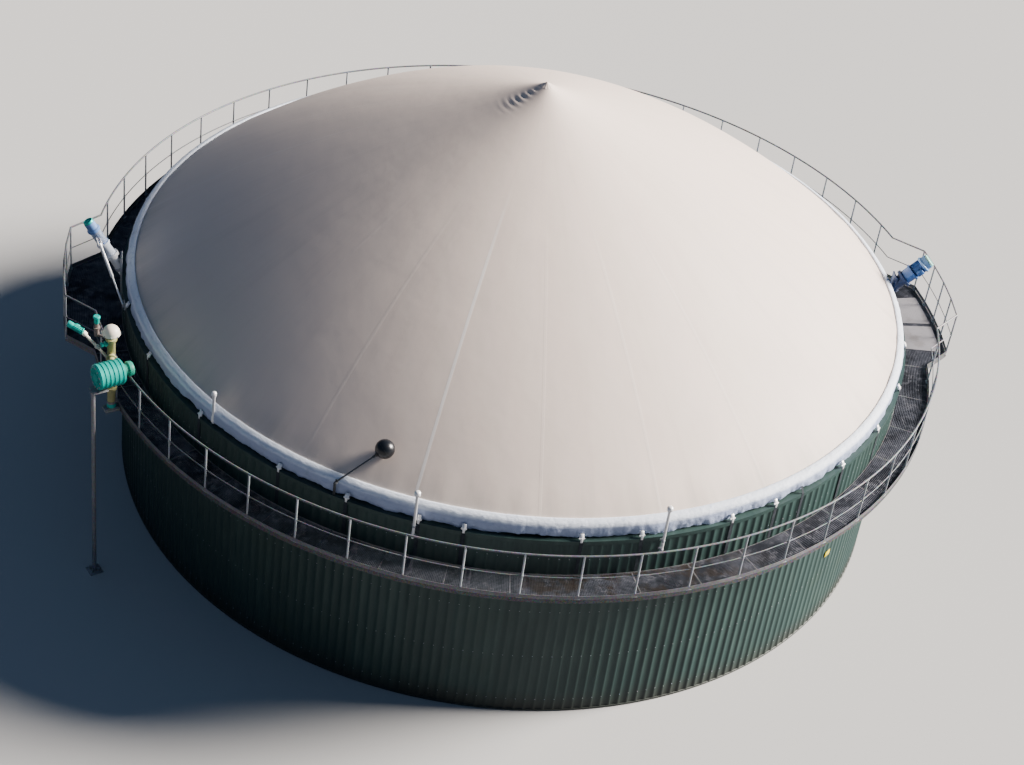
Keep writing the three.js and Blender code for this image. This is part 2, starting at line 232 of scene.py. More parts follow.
class Shader:
    """One material and the nodes that make it."""

    def __init__(self, name: str) -> None:
        """Start a material.

        Args:
            name: its name.
        """
        self.material = bpy.data.materials.new(name)
        self.material.use_nodes = True
        self.tree = self.material.node_tree
        self.surface = self.tree.nodes["Principled BSDF"]
        self.place = self.node("ShaderNodeTexCoord", output="Object")

    def node(self, kind: str, settings: dict | None = None, inputs: Any = (), output: Any = 0) -> Port:
        """Add a node.

        Args:
            kind: the node's type.
            settings: its properties, such as a Math node's operation, which are set first.
            inputs: values or links of its sockets, by name or in order.
            output: the output wanted, by name or number.

        Returns:
            That output.
        """
        made = self.tree.nodes.new(kind)
        for key, value in (settings or {}).items():
            setattr(made, key, value)
        for key, value in inputs.items() if isinstance(inputs, dict) else enumerate(inputs):
            self.feed(made.inputs[key], value)
        return Port(self, made.outputs[output])

    def feed(self, socket: bpy.types.NodeSocket, value: Any) -> None:
        """Link or set one socket.

        Args:
            socket: the socket.
            value: a port to link, or a number or colour to set.
        """
        if isinstance(value, Port):
            self.tree.links.new(value.socket, socket)
        elif isinstance(value, tuple) and socket.type == "RGBA":
            socket.default_value = (*value, 1.0)
        else:
            socket.default_value = value

    def split(self, vector: Port) -> tuple[Port, Port, Port]:
        """Return a vector's three parts."""
        node = self.node("ShaderNodeSeparateXYZ", inputs=(vector,)).socket.node
        return tuple(Port(self, out) for out in node.outputs)

    def vector(self, x: Any, y: Any, z: Any) -> Port:
        """Return a vector of three values."""
        return self.node("ShaderNodeCombineXYZ", inputs=(x, y, z))

    def noise(self, scale: float, detail: float = 4.0, rough: float = 0.55, at: Port | None = None) -> Port:
        """Return cloudy noise from 0 to 1.

        Args:
            scale: clouds per metre.
            detail: octaves of finer noise.
            rough: how strong the finer noise is.
            at: where it is read; the object's own place if None.

        Returns:
            The noise.
        """
        inputs = {"Vector": at or self.place, "Scale": scale, "Detail": detail, "Roughness": rough}
        return self.node("ShaderNodeTexNoise", inputs=inputs)

    def cells(self, scale: float, output: str = "Color") -> Port:
        """Return the colour or distance of small crystal cells."""
        inputs = {"Vector": self.place, "Scale": scale}
        return self.node("ShaderNodeTexVoronoi", inputs=inputs, output=output)

    def chance(self, number: Port) -> Port:
        """Return a random value from 0 to 1 for each whole number."""
        return self.node("ShaderNodeTexWhiteNoise", {"noise_dimensions": "1D"}, {"W": number})

    def mix(self, share: Any, first: Any, second: Any) -> Port:
        """Return a mix of two colours.

        Args:
            share: the second colour's share.
            first: the first colour.
            second: the second colour.

        Returns:
            The mixed colour.
        """
        inputs = {0: share, 6: first, 7: second}  # the sockets that a mix of colours reads
        return self.node("ShaderNodeMix", {"data_type": "RGBA"}, inputs, 2)

    def shade(self, colour: Any, amount: Any) -> Port:
        """Return the colour made lighter or darker by a factor."""
        inputs = {0: colour, "Scale": amount}
        return self.node("ShaderNodeVectorMath", {"operation": "SCALE"}, inputs)

    def bump(self, height: Port, depth: float, under: Port | None = None) -> Port:
        """Return the normal of a relief.

        Args:
            height: the relief from 0 to 1.
            depth: its depth in metres.
            under: the normal of a relief below it.

        Returns:
            The normal.
        """
        inputs = {"Height": height, "Distance": depth}
        if under:
            inputs["Normal"] = under
        return self.node("ShaderNodeBump", inputs=inputs)

    def round_the_tank(self) -> tuple[Port, Port, Port]:
        """Return the place as azimuth in radians, radius and height.

        Returns:
            The three values.
        """
        x, y, z = self.split(self.place)
        radius = x.math("SQRT", x * x + y * y)
        return x.math("ARCTAN2", y, x), radius, z

    def done(self, **sockets: Any) -> bpy.types.Material:
        """Feed the surface's sockets.

        Args:
            sockets: their values by name, with _ for a space.

        Returns:
            The material.
        """
        for name, value in sockets.items():
            self.feed(self.surface.inputs[name.replace("_", " ")], value)
        return self.material


@dataclass(frozen=True)
class Finish:
    """A named finish."""

    name: str

    def made(self) -> bpy.types.Material:
        """Return its material, made once."""
        return bpy.data.materials.get(self.name) or self.build(Shader(self.name))

    def build(self, s: Shader) -> bpy.types.Material:
        """Fill in a fresh shader and return its material."""
        raise NotImplementedError


@dataclass(frozen=True)
class ProfiledSheet(Finish):
    """Coated steel sheet that has stood outside for years."""

    colour: Triple = rgb(38, 63, 60)
    chalk: Triple = rgb(58, 81, 75)
    moss: Triple = rgb(52, 68, 49)
    soil: Triple = rgb(50, 48, 41)
    sheet: float = 5 * 60 / 46  # width of one sheet in degrees

    def build(self, s: Shader) -> bpy.types.Material:
        """Fill in the shader.

        Args:
            s: a fresh shader.

        Returns:
            Its material.
        """
        azimuth, _, z = s.round_the_tank()
        number = (azimuth * (DEGREES / self.sheet)).floor()
        tone = s.chance(number)
        streaks = s.noise(5.0, 5.0, 0.6, s.vector(azimuth * WALL_R, z * 0.16, 0.0))
        clouds = s.noise(0.5, 5.0, 0.6)
        base = s.mix(streaks.rise(0.42, 0.75) * 0.55, self.colour, self.chalk)
        base = s.mix(clouds.rise(0.5, 0.8) * (1 - z * 0.17) * 0.5, base, self.moss)
        base = s.mix((z + clouds * 0.7).rise(1.0, 0.3) * 0.75, base, self.soil)
        base = s.shade(base, 0.9 + tone * 0.16)
        ripple = s.bump(s.noise(1.3, 2.0, 0.5, s.vector(azimuth * WALL_R, z, 0.0)), 0.012)
        grain = s.bump(s.noise(180.0, 2.0), 0.0004, ripple)
        return s.done(Base_Color=base, Roughness=0.42 + clouds * 0.25, Metallic=0.0, Normal=grain)


@dataclass(frozen=True)
class CastConcrete(Finish):
    """Grey concrete with pores and damp patches."""

    colour: Triple = rgb(154, 152, 144)
    damp: Triple = rgb(104, 102, 96)

    def build(self, s: Shader) -> bpy.types.Material:
        """Fill in the shader.

        Args:
            s: a fresh shader.

        Returns:
            Its material.
        """
        patches = s.noise(0.6, 6.0, 0.62)
        pores = s.cells(60.0, output="Distance")
        base = s.mix(patches.rise(0.45, 0.7), self.colour, self.damp)
        base = s.mix(pores.rise(0.22, 0.05) * 0.6, base, self.damp)
        relief = s.bump(pores.rise(0.05, 0.3), 0.002, s.bump(s.noise(25.0, 5.0), 0.003))
        return s.done(Base_Color=base, Roughness=0.8 + patches * 0.15, Normal=relief)


@dataclass(frozen=True)
class RoofCloth(Finish):
    """Coated roof fabric in welded panels, with dirt that rain has drawn down it."""

    colour: Triple = rgb(236, 219, 207)
    weld: Triple = rgb(250, 246, 242)
    dust: Triple = rgb(206, 190, 180)
    algae: Triple = rgb(160, 158, 148)
    overlap: float = 0.06
    seen: Pair = (2.2, 5.0)  # the welds show from the first radius and are clear from the second

    def build(self, s: Shader) -> bpy.types.Material:
        """Fill in the shader.

        Args:
            s: a fresh shader.

        Returns:
            Its material.
        """
        azimuth, radius, _ = s.round_the_tank()
        panels = azimuth * (SEAMS / math.tau) - SEAM_AT / 360 * SEAMS
        across = (((panels + 0.5).part() - 0.5) * radius * (math.tau / SEAMS)).size()
        weld = across.rise(self.overlap * 0.6, self.overlap * 0.4) * radius.rise(*self.seen)
        tone = s.chance(panels.floor())
        wear = s.chance((panels + 0.5).floor())
        clearest = (azimuth * DEGREES - SEAM_AT).size().rise(6.0, 3.0)
        runs = s.noise(2.2, 5.0, 0.6, s.vector(azimuth * WALL_R, radius * 0.12, 0.0))
        clouds = s.noise(0.35, 5.0, 0.55)
        base = s.mix(runs.rise(0.48, 0.8) * 0.22, self.colour, self.dust)
        base = s.mix(clouds.rise(0.5, 0.85) * 0.25, base, self.dust)
        base = s.mix((radius + runs * 0.9).rise(8.6, 9.5) * 0.4, base, self.algae)
        base = s.mix(weld * (wear * 0.1 + 0.02 + clearest * 0.7), base, self.weld)
        base = s.shade(base, 0.985 + tone * 0.02)
        weave = s.bump(s.noise(320.0, 2.0), 0.0005)
        slack = s.bump(s.noise(0.9, 3.0, 0.5), 0.012, weave)
        return s.done(Base_Color=base, Roughness=0.5 + clouds * 0.2, Normal=s.bump(weld, 0.0008, slack))


@dataclass(frozen=True)
class HemCloth(Finish):
    """The crinkled bright skirt at the roof's edge, with painted shade in its creases and on its lower,
    hanging band.
    """

    colour: Triple = rgb(232, 241, 255)
    # fold is the painted shade in the creases; shaded is the painted shade on the hanging band.
    fold: Triple = rgb(114, 138, 186)
    shaded: Triple = rgb(80, 108, 166)
    dirt: Triple = rgb(124, 126, 124)

    def build(self, s: Shader) -> bpy.types.Material:
        """Fill in the shader.

        Args:
            s: a fresh shader.

        Returns:
            Its material.
        """
        azimuth, radius, z = s.round_the_tank()
        creases = s.noise(7.0, 5.0, 0.65, s.vector(azimuth * WALL_R, z * 2.2, radius * 2.0))
        stains = s.noise(1.6, 5.0, 0.6)
        # Painted shade: a dark blue tint in the creases, and the shaded blue on the cloth below the shoulder.
        base = s.mix(creases.rise(0.5, 0.72) * 0.3, self.colour, self.fold)
        base = s.mix((z + creases * 0.06).rise(5.11, 5.04) * 0.58, base, self.shaded)
        base = s.mix(stains.rise(0.56, 0.8) * 0.35, base, self.dirt)
        relief = s.bump(creases, 0.018, s.bump(s.noise(320.0, 2.0), 0.0005))
        return s.done(Base_Color=base, Roughness=0.4 + stains * 0.25, Normal=relief)


@dataclass(frozen=True)
class Zinc(Finish):
    """Hot-dip galvanised steel, dulled, with brown runs."""

    colour: Triple = rgb(156, 163, 170)
    bloom: Triple = rgb(188, 193, 198)
    rust: Triple = rgb(136, 104, 80)
    stained: float = 0.3

    def build(self, s: Shader) -> bpy.types.Material:
        """Fill in the shader.

        Args:
            s: a fresh shader.

        Returns:
            Its material.
        """
        spangle = s.cells(45.0)
        clouds = s.noise(3.0, 5.0, 0.6)
        runs = s.noise(4.0, 5.0, 0.65)
        base = s.mix(clouds.rise(0.45, 0.7) * 0.7, self.colour, self.bloom)
        base = s.mix(0.12, base, spangle)
        base = s.mix(runs.rise(0.6, 0.76) * self.stained, base, self.rust)
        relief = s.bump(s.noise(120.0, 3.0), 0.0004)
        return s.done(Base_Color=base, Roughness=0.42 + clouds * 0.25, Metallic=0.2, Normal=relief)


@dataclass(frozen=True)
class GratingSteel(Finish):
    """Galvanised grating bars with dirt and straw trodden into them at the front, where the dark brown also
    serves as painted shade.
    """

    colour: Triple = rgb(104, 107, 119)
    dark: Triple = rgb(58, 62, 74)
    light: Triple = rgb(140, 141, 151)
    # The dark brown below is real dirt that also serves as painted shade on the front deck, centred at the
    # azimuth after it.
    mud_and_shade: Triple = rgb(74, 61, 52)
    mud_and_shade_at: float = -84.0  # azimuth of the dirtiest stretch

    def build(self, s: Shader) -> bpy.types.Material:
        """Fill in the shader.

        Args:
            s: a fresh shader.

        Returns:
            Its material.
        """
        azimuth, _, _ = s.round_the_tank()
        clouds = s.noise(1.4, 5.0, 0.6)
        patches = s.noise(2.1, 5.0, 0.68)
        away = (azimuth * DEGREES - self.mud_and_shade_at).size()
        base = s.mix(clouds.rise(0.44, 0.6), self.colour, self.dark)
        spots = s.noise(5.5, 4.0, 0.65)
        base = s.mix(spots.rise(0.52, 0.64) * 0.7, base, self.light)
        base = s.mix(spots.rise(0.46, 0.36) * 0.6, base, self.dark)
        # Dirt is darkest and strongest round the front azimuth, where the deck lies in shade: partly painted
        # shade.
        mud_and_shade = patches.rise(0.46, 0.6) * (0.08 + away.rise(24.0, 6.0) * 0.8)
        base = s.mix(mud_and_shade, base, self.mud_and_shade)
        relief = s.bump(s.noise(90.0, 3.0), 0.0006)
        return s.done(Base_Color=base, Roughness=0.5 + patches * 0.35, Metallic=0.15, Normal=relief)


@dataclass(frozen=True)
class TreadPlate(Finish):
    """Light plate with raised tread bars laid crosswise."""

    colour: Triple = rgb(148, 146, 151)
    dirt: Triple = rgb(106, 101, 99)

    def build(self, s: Shader) -> bpy.types.Material:
        """Fill in the shader.

        Args:
            s: a fresh shader.

        Returns:
            Its material.
        """
        x, y, _ = s.split(s.place)
        first, second = ((x + y) * 14.0).part(), ((x - y) * 14.0).part()
        bars = (first - 0.5).size().rise(0.2, 0.1) * (second - 0.5).size().rise(0.45, 0.35)
        clouds = s.noise(2.0, 5.0, 0.6)
        base = s.mix(clouds.rise(0.45, 0.75) * 0.7, self.colour, self.dirt)
        relief = s.bump(bars, 0.0025, s.bump(s.noise(140.0, 3.0), 0.0004))
        return s.done(Base_Color=base, Roughness=0.4 + clouds * 0.3, Metallic=0.3, Normal=relief)


@dataclass(frozen=True)
class Enamel(Finish):
    """Paint on steel or a cast housing, faded on top and dirty in patches."""

    colour: Triple
    faded: Triple
    dirt: Triple = rgb(70, 68, 62)
    rust: Triple = rgb(118, 74, 44)
    worn: float = 0.5
    rough: float = 0.38

    def build(self, s: Shader) -> bpy.types.Material:
        """Fill in the shader.

        Args:
            s: a fresh shader.

        Returns:
            Its material.
        """
        up = s.split(s.node("ShaderNodeNewGeometry", output="Normal"))[2]
        clouds = s.noise(4.5, 5.0, 0.6)
        spots = s.noise(17.0, 5.0, 0.65)
        base = s.mix((up + clouds - 0.5).rise(0.0, 0.9) * 0.5, self.colour, self.faded)
        base = s.mix(clouds.rise(0.55, 0.78) * 0.6 * self.worn, base, self.dirt)
        base = s.mix(spots.rise(0.66, 0.72) * self.worn, base, self.rust)
        relief = s.bump(s.noise(150.0, 3.0), 0.0004, s.bump(spots.rise(0.72, 0.6), 0.0004))
        return s.done(Base_Color=base, Roughness=self.rough + clouds * 0.25, Coat_Weight=0.15, Normal=relief)


@dataclass(frozen=True)
class Webbing(Finish):
    """Dark woven belt, dark navy so that it also stands for the shadow each belt casts on the wall: partly
    painted shadow.
    """

    colour: Triple = rgb(28, 36, 46)
    worn: Triple = rgb(56, 64, 70)

    def build(self, s: Shader) -> bpy.types.Material:
        """Fill in the shader.

        Args:
            s: a fresh shader.

        Returns:
            Its material.
        """
        azimuth, _, z = s.round_the_tank()
        ribs = ((z * 160.0).part() - 0.5).size() + ((azimuth * 1400.0).part() - 0.5).size()
        clouds = s.noise(6.0, 5.0, 0.6)
        base = s.mix(clouds.rise(0.45, 0.75), self.colour, self.worn)
        return s.done(Base_Color=base, Roughness=0.75 + clouds * 0.15, Normal=s.bump(ribs, 0.001))


SHEET_GREEN = ProfiledSheet("sheet green")
CONCRETE = CastConcrete("concrete")
ROOF_CLOTH = RoofCloth("roof cloth")
HEM_CLOTH = HemCloth("hem cloth")
ZINC = Zinc("zinc")
OLD_ZINC = Zinc("old zinc", rgb(132, 132, 136), rgb(160, 158, 160), stained=0.5)
# Darker than the posts' zinc: painted shade on the rails of the walkway and the left platform; the right
# platform's rails keep the lighter old zinc.
SHADED_RAIL_ZINC = Zinc("shaded rail zinc", rgb(78, 84, 92), rgb(104, 110, 118), stained=0.35)
EDGE_ZINC = Zinc("edge zinc", rgb(96, 96, 101), rgb(122, 121, 125), stained=0.3)
# Near black: painted shade on the walkway's edge channel under the deck.
CHANNEL_SHADE_ZINC = Zinc("channel shade zinc", rgb(44, 45, 50), rgb(62, 63, 67), stained=0.3)
GRATING = GratingSteel("grating steel")
TREAD = TreadPlate("tread plate")
WEBBING_AND_SHADOW = Webbing("webbing and shadow")
BLUE = Enamel("machine blue", rgb(46, 96, 164), rgb(78, 128, 188), worn=0.3)
SKY_BLUE = Enamel("cowl blue", rgb(96, 146, 204), rgb(136, 182, 222), worn=0.2)
DARK_BLUE = Enamel("flange blue", rgb(34, 58, 100), rgb(52, 82, 128))
PALE_BLUE = Enamel("pale blue", rgb(214, 224, 238), rgb(232, 236, 242), worn=0.2)
MID_BLUE = Enamel("fin blue", rgb(104, 142, 202), rgb(140, 172, 220), worn=0.25)
# Painted highlight: the pale mint of the right drive's end cover stands for the glint on its lit outer end.
MINT_HIGHLIGHT = Enamel("cover mint highlight", rgb(150, 214, 206), rgb(192, 232, 222), worn=0.2)
TEAL = Enamel("teal", rgb(0, 100, 82), rgb(12, 124, 104), worn=0.3)
MINT_TEAL = Enamel("hub teal", rgb(26, 138, 116), rgb(66, 170, 150), worn=0.2)
PIPE_PAINT = Enamel("pipe paint", rgb(176, 172, 116), rgb(198, 194, 148), worn=0.7)
CREAM = Enamel("cream", rgb(236, 208, 178), rgb(248, 230, 208), worn=0.3)
WHITE = Enamel("white", rgb(232, 236, 242), rgb(242, 244, 248), worn=0.25)
BLACK = Enamel("ball black", rgb(13, 16, 21), rgb(24, 28, 34), worn=0.15, rough=0.2)
GREY = Enamel("arm grey", rgb(48, 52, 56), rgb(76, 80, 84), worn=0.4)
COLUMN = Enamel("valve column", rgb(122, 108, 104), rgb(150, 138, 132), worn=0.5)
YELLOW = Enamel("faded yellow", rgb(232, 212, 18), rgb(240, 224, 70), worn=0.2)


class Workpiece:
    """A mesh in the making, shaped with bmesh operators."""

    SHARP = math.radians(50)  # edges that turn by more than this stay sharp
    MERGE = 1e-5  # points closer than this become one

    def __init__(self) -> None:
        """Start with nothing."""
        self.bm = bmesh.new()

    def block(self, size: Triple, place: Matrix, material: int = 0, bevel: float = 0.0) -> None:
        """Add a block.

        Args:
            size: its lengths along the place's axes.
            place: where its middle is.
            material: number of its finish.
            bevel: width of its bevelled edges.
        """
        matrix = place @ Matrix.Diagonal((*size, 1.0))
        verts = bmesh.ops.create_cube(self.bm, size=1.0, matrix=matrix)["verts"]
        for face in {f for v in verts for f in v.link_faces}:
            face.material_index = material
        if bevel:
            edges = list({e for v in verts for e in v.link_edges})
            bmesh.ops.bevel(
                self.bm, geom=edges, offset=bevel, segments=1, profile=0.5, affect="EDGES", material=-1
            )

    def rod(
        self, start: Vector, end: Vector, radius: float, tip: float | None = None, sides: int = 12,
        material: int = 0,
    ) -> None:
        """Add a round bar, or one that tapers.

        Args:
            start: middle of its first end.
            end: middle of its other end.
            radius: radius at the start.
            tip: radius at the end, if another.
            sides: flats round it.
            material: number of its finish.
        """
        length = (end - start).length
        matrix = along(start, end) @ moved(0.0, 0.0, length / 2)
        verts = bmesh.ops.create_cone(
            self.bm, cap_ends=True, segments=sides, radius1=radius, radius2=radius if tip is None else tip,
            depth=length, matrix=matrix,
        )["verts"]
        for face in {f for v in verts for f in v.link_faces}:
            face.material_index = material

    def bar(self, start: Vector, end: Vector, width: float, depth: float, material: int = 0) -> None:
        """Add a bar with a four-sided section.

        Args:
            start: middle of its first end.
            end: middle of its other end.
            width: one side of its section.
            depth: the other side.
            material: number of its finish.
        """
        length = (end - start).length
        place = along(start, end) @ moved(0.0, 0.0, length / 2)
        self.block((width, depth, length), place, material)

    def lathe(self, profile: Sequence[Pair], place: Matrix, steps: int = 24, material: int = 0) -> None:
        """Turn a profile about the place's Z.

        Args:
            profile: radius and height pairs from one end on the axis to the other.
            place: the foot of the axis.
            steps: flats round it.
            material: number of its finish.
        """
        part = Workpiece()
        verts = [part.bm.verts.new((r, 0.0, z)) for r, z in profile]
        edges = [part.bm.edges.new(pair) for pair in zip(verts, verts[1:])]
        bmesh.ops.spin(
            part.bm, geom=verts + edges, axis=(0.0, 0.0, 1.0), cent=(0.0, 0.0, 0.0), angle=math.tau,
            steps=steps, use_merge=True,
        )
        bmesh.ops.remove_doubles(part.bm, verts=part.bm.verts, dist=self.MERGE)
        part.dress(material)
        self.take(part, [place])

    def sweep(self, section: Sequence[Pair], start: float, end: float, steps: int, material: int = 0) -> None:
        """Sweep a closed section round the tank's axis.

        Args:
            section: radius and height pairs.
            start: azimuth where it begins.
            end: azimuth where it ends.
            steps: straight lengths in between.
            material: number of its finish.
        """
        part = Workpiece()
        turn = turned(start)
        part.bm.faces.new([part.bm.verts.new(turn @ Vector((r, 0.0, z))) for r, z in section])
        part.spin(end - start, steps)
        part.dress(material)
        self.take(part)

    def spin(self, angle: float, steps: int, copies: bool = False) -> None:
        """Spin everything about the tank's axis.

        Args:
            angle: how far, in degrees.
            steps: the number of steps.
            copies: whether each step leaves a copy, instead of drawing the shape out.
        """
        geom = [*self.bm.verts, *self.bm.edges, *self.bm.faces]
        bmesh.ops.spin(
            self.bm, geom=geom, axis=(0.0, 0.0, 1.0), cent=(0.0, 0.0, 0.0), angle=math.radians(angle),
            steps=steps, use_duplicate=copies,
        )

    def dress(self, material: int) -> None:
        """Give every face that finish."""
        for face in self.bm.faces:
            face.material_index = material

    def take(self, part: "Workpiece", places: Iterable[Matrix] = (Matrix(),)) -> None:
        """Add another workpiece, which is used up.

        Args:
            part: the other workpiece.
            places: where it is put, once at each place.
        """
        base = bpy.data.meshes.new("part")
        part.bm.to_mesh(base)
        part.bm.free()
        for place in places:
            mesh = base.copy()
            mesh.transform(place)
            self.bm.from_mesh(mesh)
            bpy.data.meshes.remove(mesh)
        bpy.data.meshes.remove(base)

    def cut(self, point: Vector, normal: Vector) -> None:
        """Cut away all that lies behind a plane and close the cut.

        Args:
            point: a point on the plane.
            normal: the plane's direction, towards the side that stays.
        """
        geom = [*self.bm.verts, *self.bm.edges, *self.bm.faces]
        bmesh.ops.bisect_plane(self.bm, geom=geom, plane_co=point, plane_no=normal, clear_inner=True)
        bmesh.ops.holes_fill(self.bm, edges=[e for e in self.bm.edges if e.is_boundary], sides=0)

    def move(self, shift: Callable[[Vector], Vector]) -> None:
        """Move every point to what shift makes of it."""
        for vert in self.bm.verts:
            vert.co = shift(vert.co)

    def finish(
        self, name: str, finishes: Sequence[Finish], slot: Slot, nodes: Sequence[str] = ()
    ) -> bpy.types.Object:
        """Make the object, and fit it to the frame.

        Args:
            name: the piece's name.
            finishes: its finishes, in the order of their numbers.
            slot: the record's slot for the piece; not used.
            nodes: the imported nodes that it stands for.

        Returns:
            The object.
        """
        bmesh.ops.recalc_face_normals(self.bm, faces=self.bm.faces)
        for face in self.bm.faces:
            face.smooth = True
        for edge in self.bm.edges:
            edge.smooth = edge.calc_face_angle(0.0) < self.SHARP
        mesh = bpy.data.meshes.new(name)
        self.bm.to_mesh(mesh)
        self.bm.free()
        for finish in finishes:
            mesh.materials.append(finish.made())
        piece = bpy.data.objects.new(name, mesh)
        bpy.context.scene.collection.objects.link(piece)
        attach(piece, "root")
        if nodes:
            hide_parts(*nodes)
        log.info("%s: %d faces", name, len(mesh.polygons))
        return piece


def hexagon(place: Matrix, size: float, material: int, into: Workpiece) -> None:
    """Add a washer and a hexagon head.

    Args:
        place: the face that it sits on, its X outward.
        size: the thread's diameter.
        material: number of its finish.
        into: the workpiece that it is on.
    """
    foot, rim = place.translation, place @ Vector((size * 0.25, 0.0, 0.0))
    into.rod(foot, rim, size * 1.1, sides=8, material=material)
    into.rod(rim, place @ Vector((size * 0.95, 0.0, 0.0)), size * 0.9, sides=6, material=material)


@dataclass
class FloorSlab:
    """The floor slab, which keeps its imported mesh."""

    node: str = "floor_slab"

    def build(self) -> None:
        """Give the slab its concrete."""
        slab_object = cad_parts[self.node]
        slab_object.data.materials.clear()
        slab_object.data.materials.append(CONCRETE.made())
        log.info("%s: dressed", self.node)


@dataclass
class ProfiledWall:
    """The round wall: a concrete core with profiled sheets outside it."""

    parts: int = 6
    ribs: int = 46  # in one part
    depth: float = 0.015
    thickness: float = 0.002
    foot: float = 0.04
    top: float = 4.77
    rib: tuple[float, ...] = (0.0, 0.062, 0.08, 0.124, 0.142)  # turning points of one rib, in metres round
    crown: Pair = (0.08, 0.124)  # where its crown begins and ends
    crown_r: float = WALL_R - 0.001
    core: Pair = (8.68, 8.955)  # radii of the concrete
    core_top: float = 4.74
    screw: float = 0.008
    screw_rows: tuple[float, ...] = (0.35, 1.6, 2.85, 4.3)
    core_steps: int = 48  # straight lengths in one part of the core
    trim_steps: int = 96  # and in one part of the flashing and the drip
    flashing: tuple[Pair, ...] = (
        (8.7, 4.775), (9.004, 4.775), (9.004, 4.69), (9.007, 4.69), (9.007, 4.778), (8.7, 4.778),
    )
    drip: tuple[Pair, ...] = (
        (8.956, 0.075), (9.002, 0.05), (9.002, 0.02), (9.005, 0.02), (9.005, 0.052), (8.956, 0.078),
    )

    @property
    def pitch(self) -> float:
        """Return the angle from rib to rib."""
        return 360 / self.parts / self.ribs

    def build(self) -> None:
        """Build every part of the wall."""
        for number in range(self.parts):
            self.segment(number)

    def sheets(self, start: float) -> Workpiece:
        """Build the profiled sheets of one part.

        Args:
            start: azimuth where it starts.

        Returns:
            The sheets.
        """
        valley = WALL_R - self.depth
        points = [
            (self.crown_r if s in self.crown else valley, start + math.degrees(s / WALL_R)) for s in self.rib
        ]
        points.append((valley, start + self.pitch))
        sheet = Workpiece()
        verts = [sheet.bm.verts.new(around(r, a, self.foot)) for r, a in points]
        edges = [sheet.bm.edges.new(pair) for pair in zip(verts, verts[1:])]
        drawn = bmesh.ops.extrude_edge_only(sheet.bm, edges=edges)["geom"]
        raised = [v for v in drawn if isinstance(v, bmesh.types.BMVert)]
        bmesh.ops.translate(sheet.bm, vec=(0.0, 0.0, self.top - self.foot), verts=raised)
        sheet.spin(self.pitch * (self.ribs - 1), self.ribs - 1, copies=True)
        bmesh.ops.remove_doubles(sheet.bm, verts=sheet.bm.verts, dist=1e-4)
        bmesh.ops.recalc_face_normals(sheet.bm, faces=sheet.bm.faces)
        bmesh.ops.solidify(sheet.bm, geom=sheet.bm.faces, thickness=self.thickness)
        return sheet

    def screws(self, start: float) -> Workpiece:
        """Build the screws of one part, one on every crown at each row.

        Args:
            start: azimuth where the part starts.

        Returns:
            The screws.
        """
        screws = Workpiece()
        middle = start + math.degrees(sum(self.crown) / 2 / WALL_R)
        for height in self.screw_rows:
            hexagon(outward(WALL_R, middle, height), self.screw, 0, screws)
        screws.spin(self.pitch * (self.ribs - 1), self.ribs - 1, copies=True)
        return screws

    def segment(self, number: int) -> None:
        """Build one part.

        Args:
            number: the part, counted from 0.
        """
        start = 360 / self.parts * number
        end = start + 360 / self.parts
        part = Workpiece()
        part.take(self.sheets(start))
        screws = self.screws(start)
        screws.dress(1)
        part.take(screws)
        part.sweep(slab(*self.core, 0.0, self.core_top), start, end, self.core_steps, 2)
        part.sweep(self.flashing, start, end, self.trim_steps)
        part.sweep(self.drip, start, end, self.trim_steps)
        part.finish(f"clad_wall_{number + 1}", [SHEET_GREEN, ZINC, CONCRETE], Slot.CLADDING,
                    [f"wall_segment_{number + 1}"])


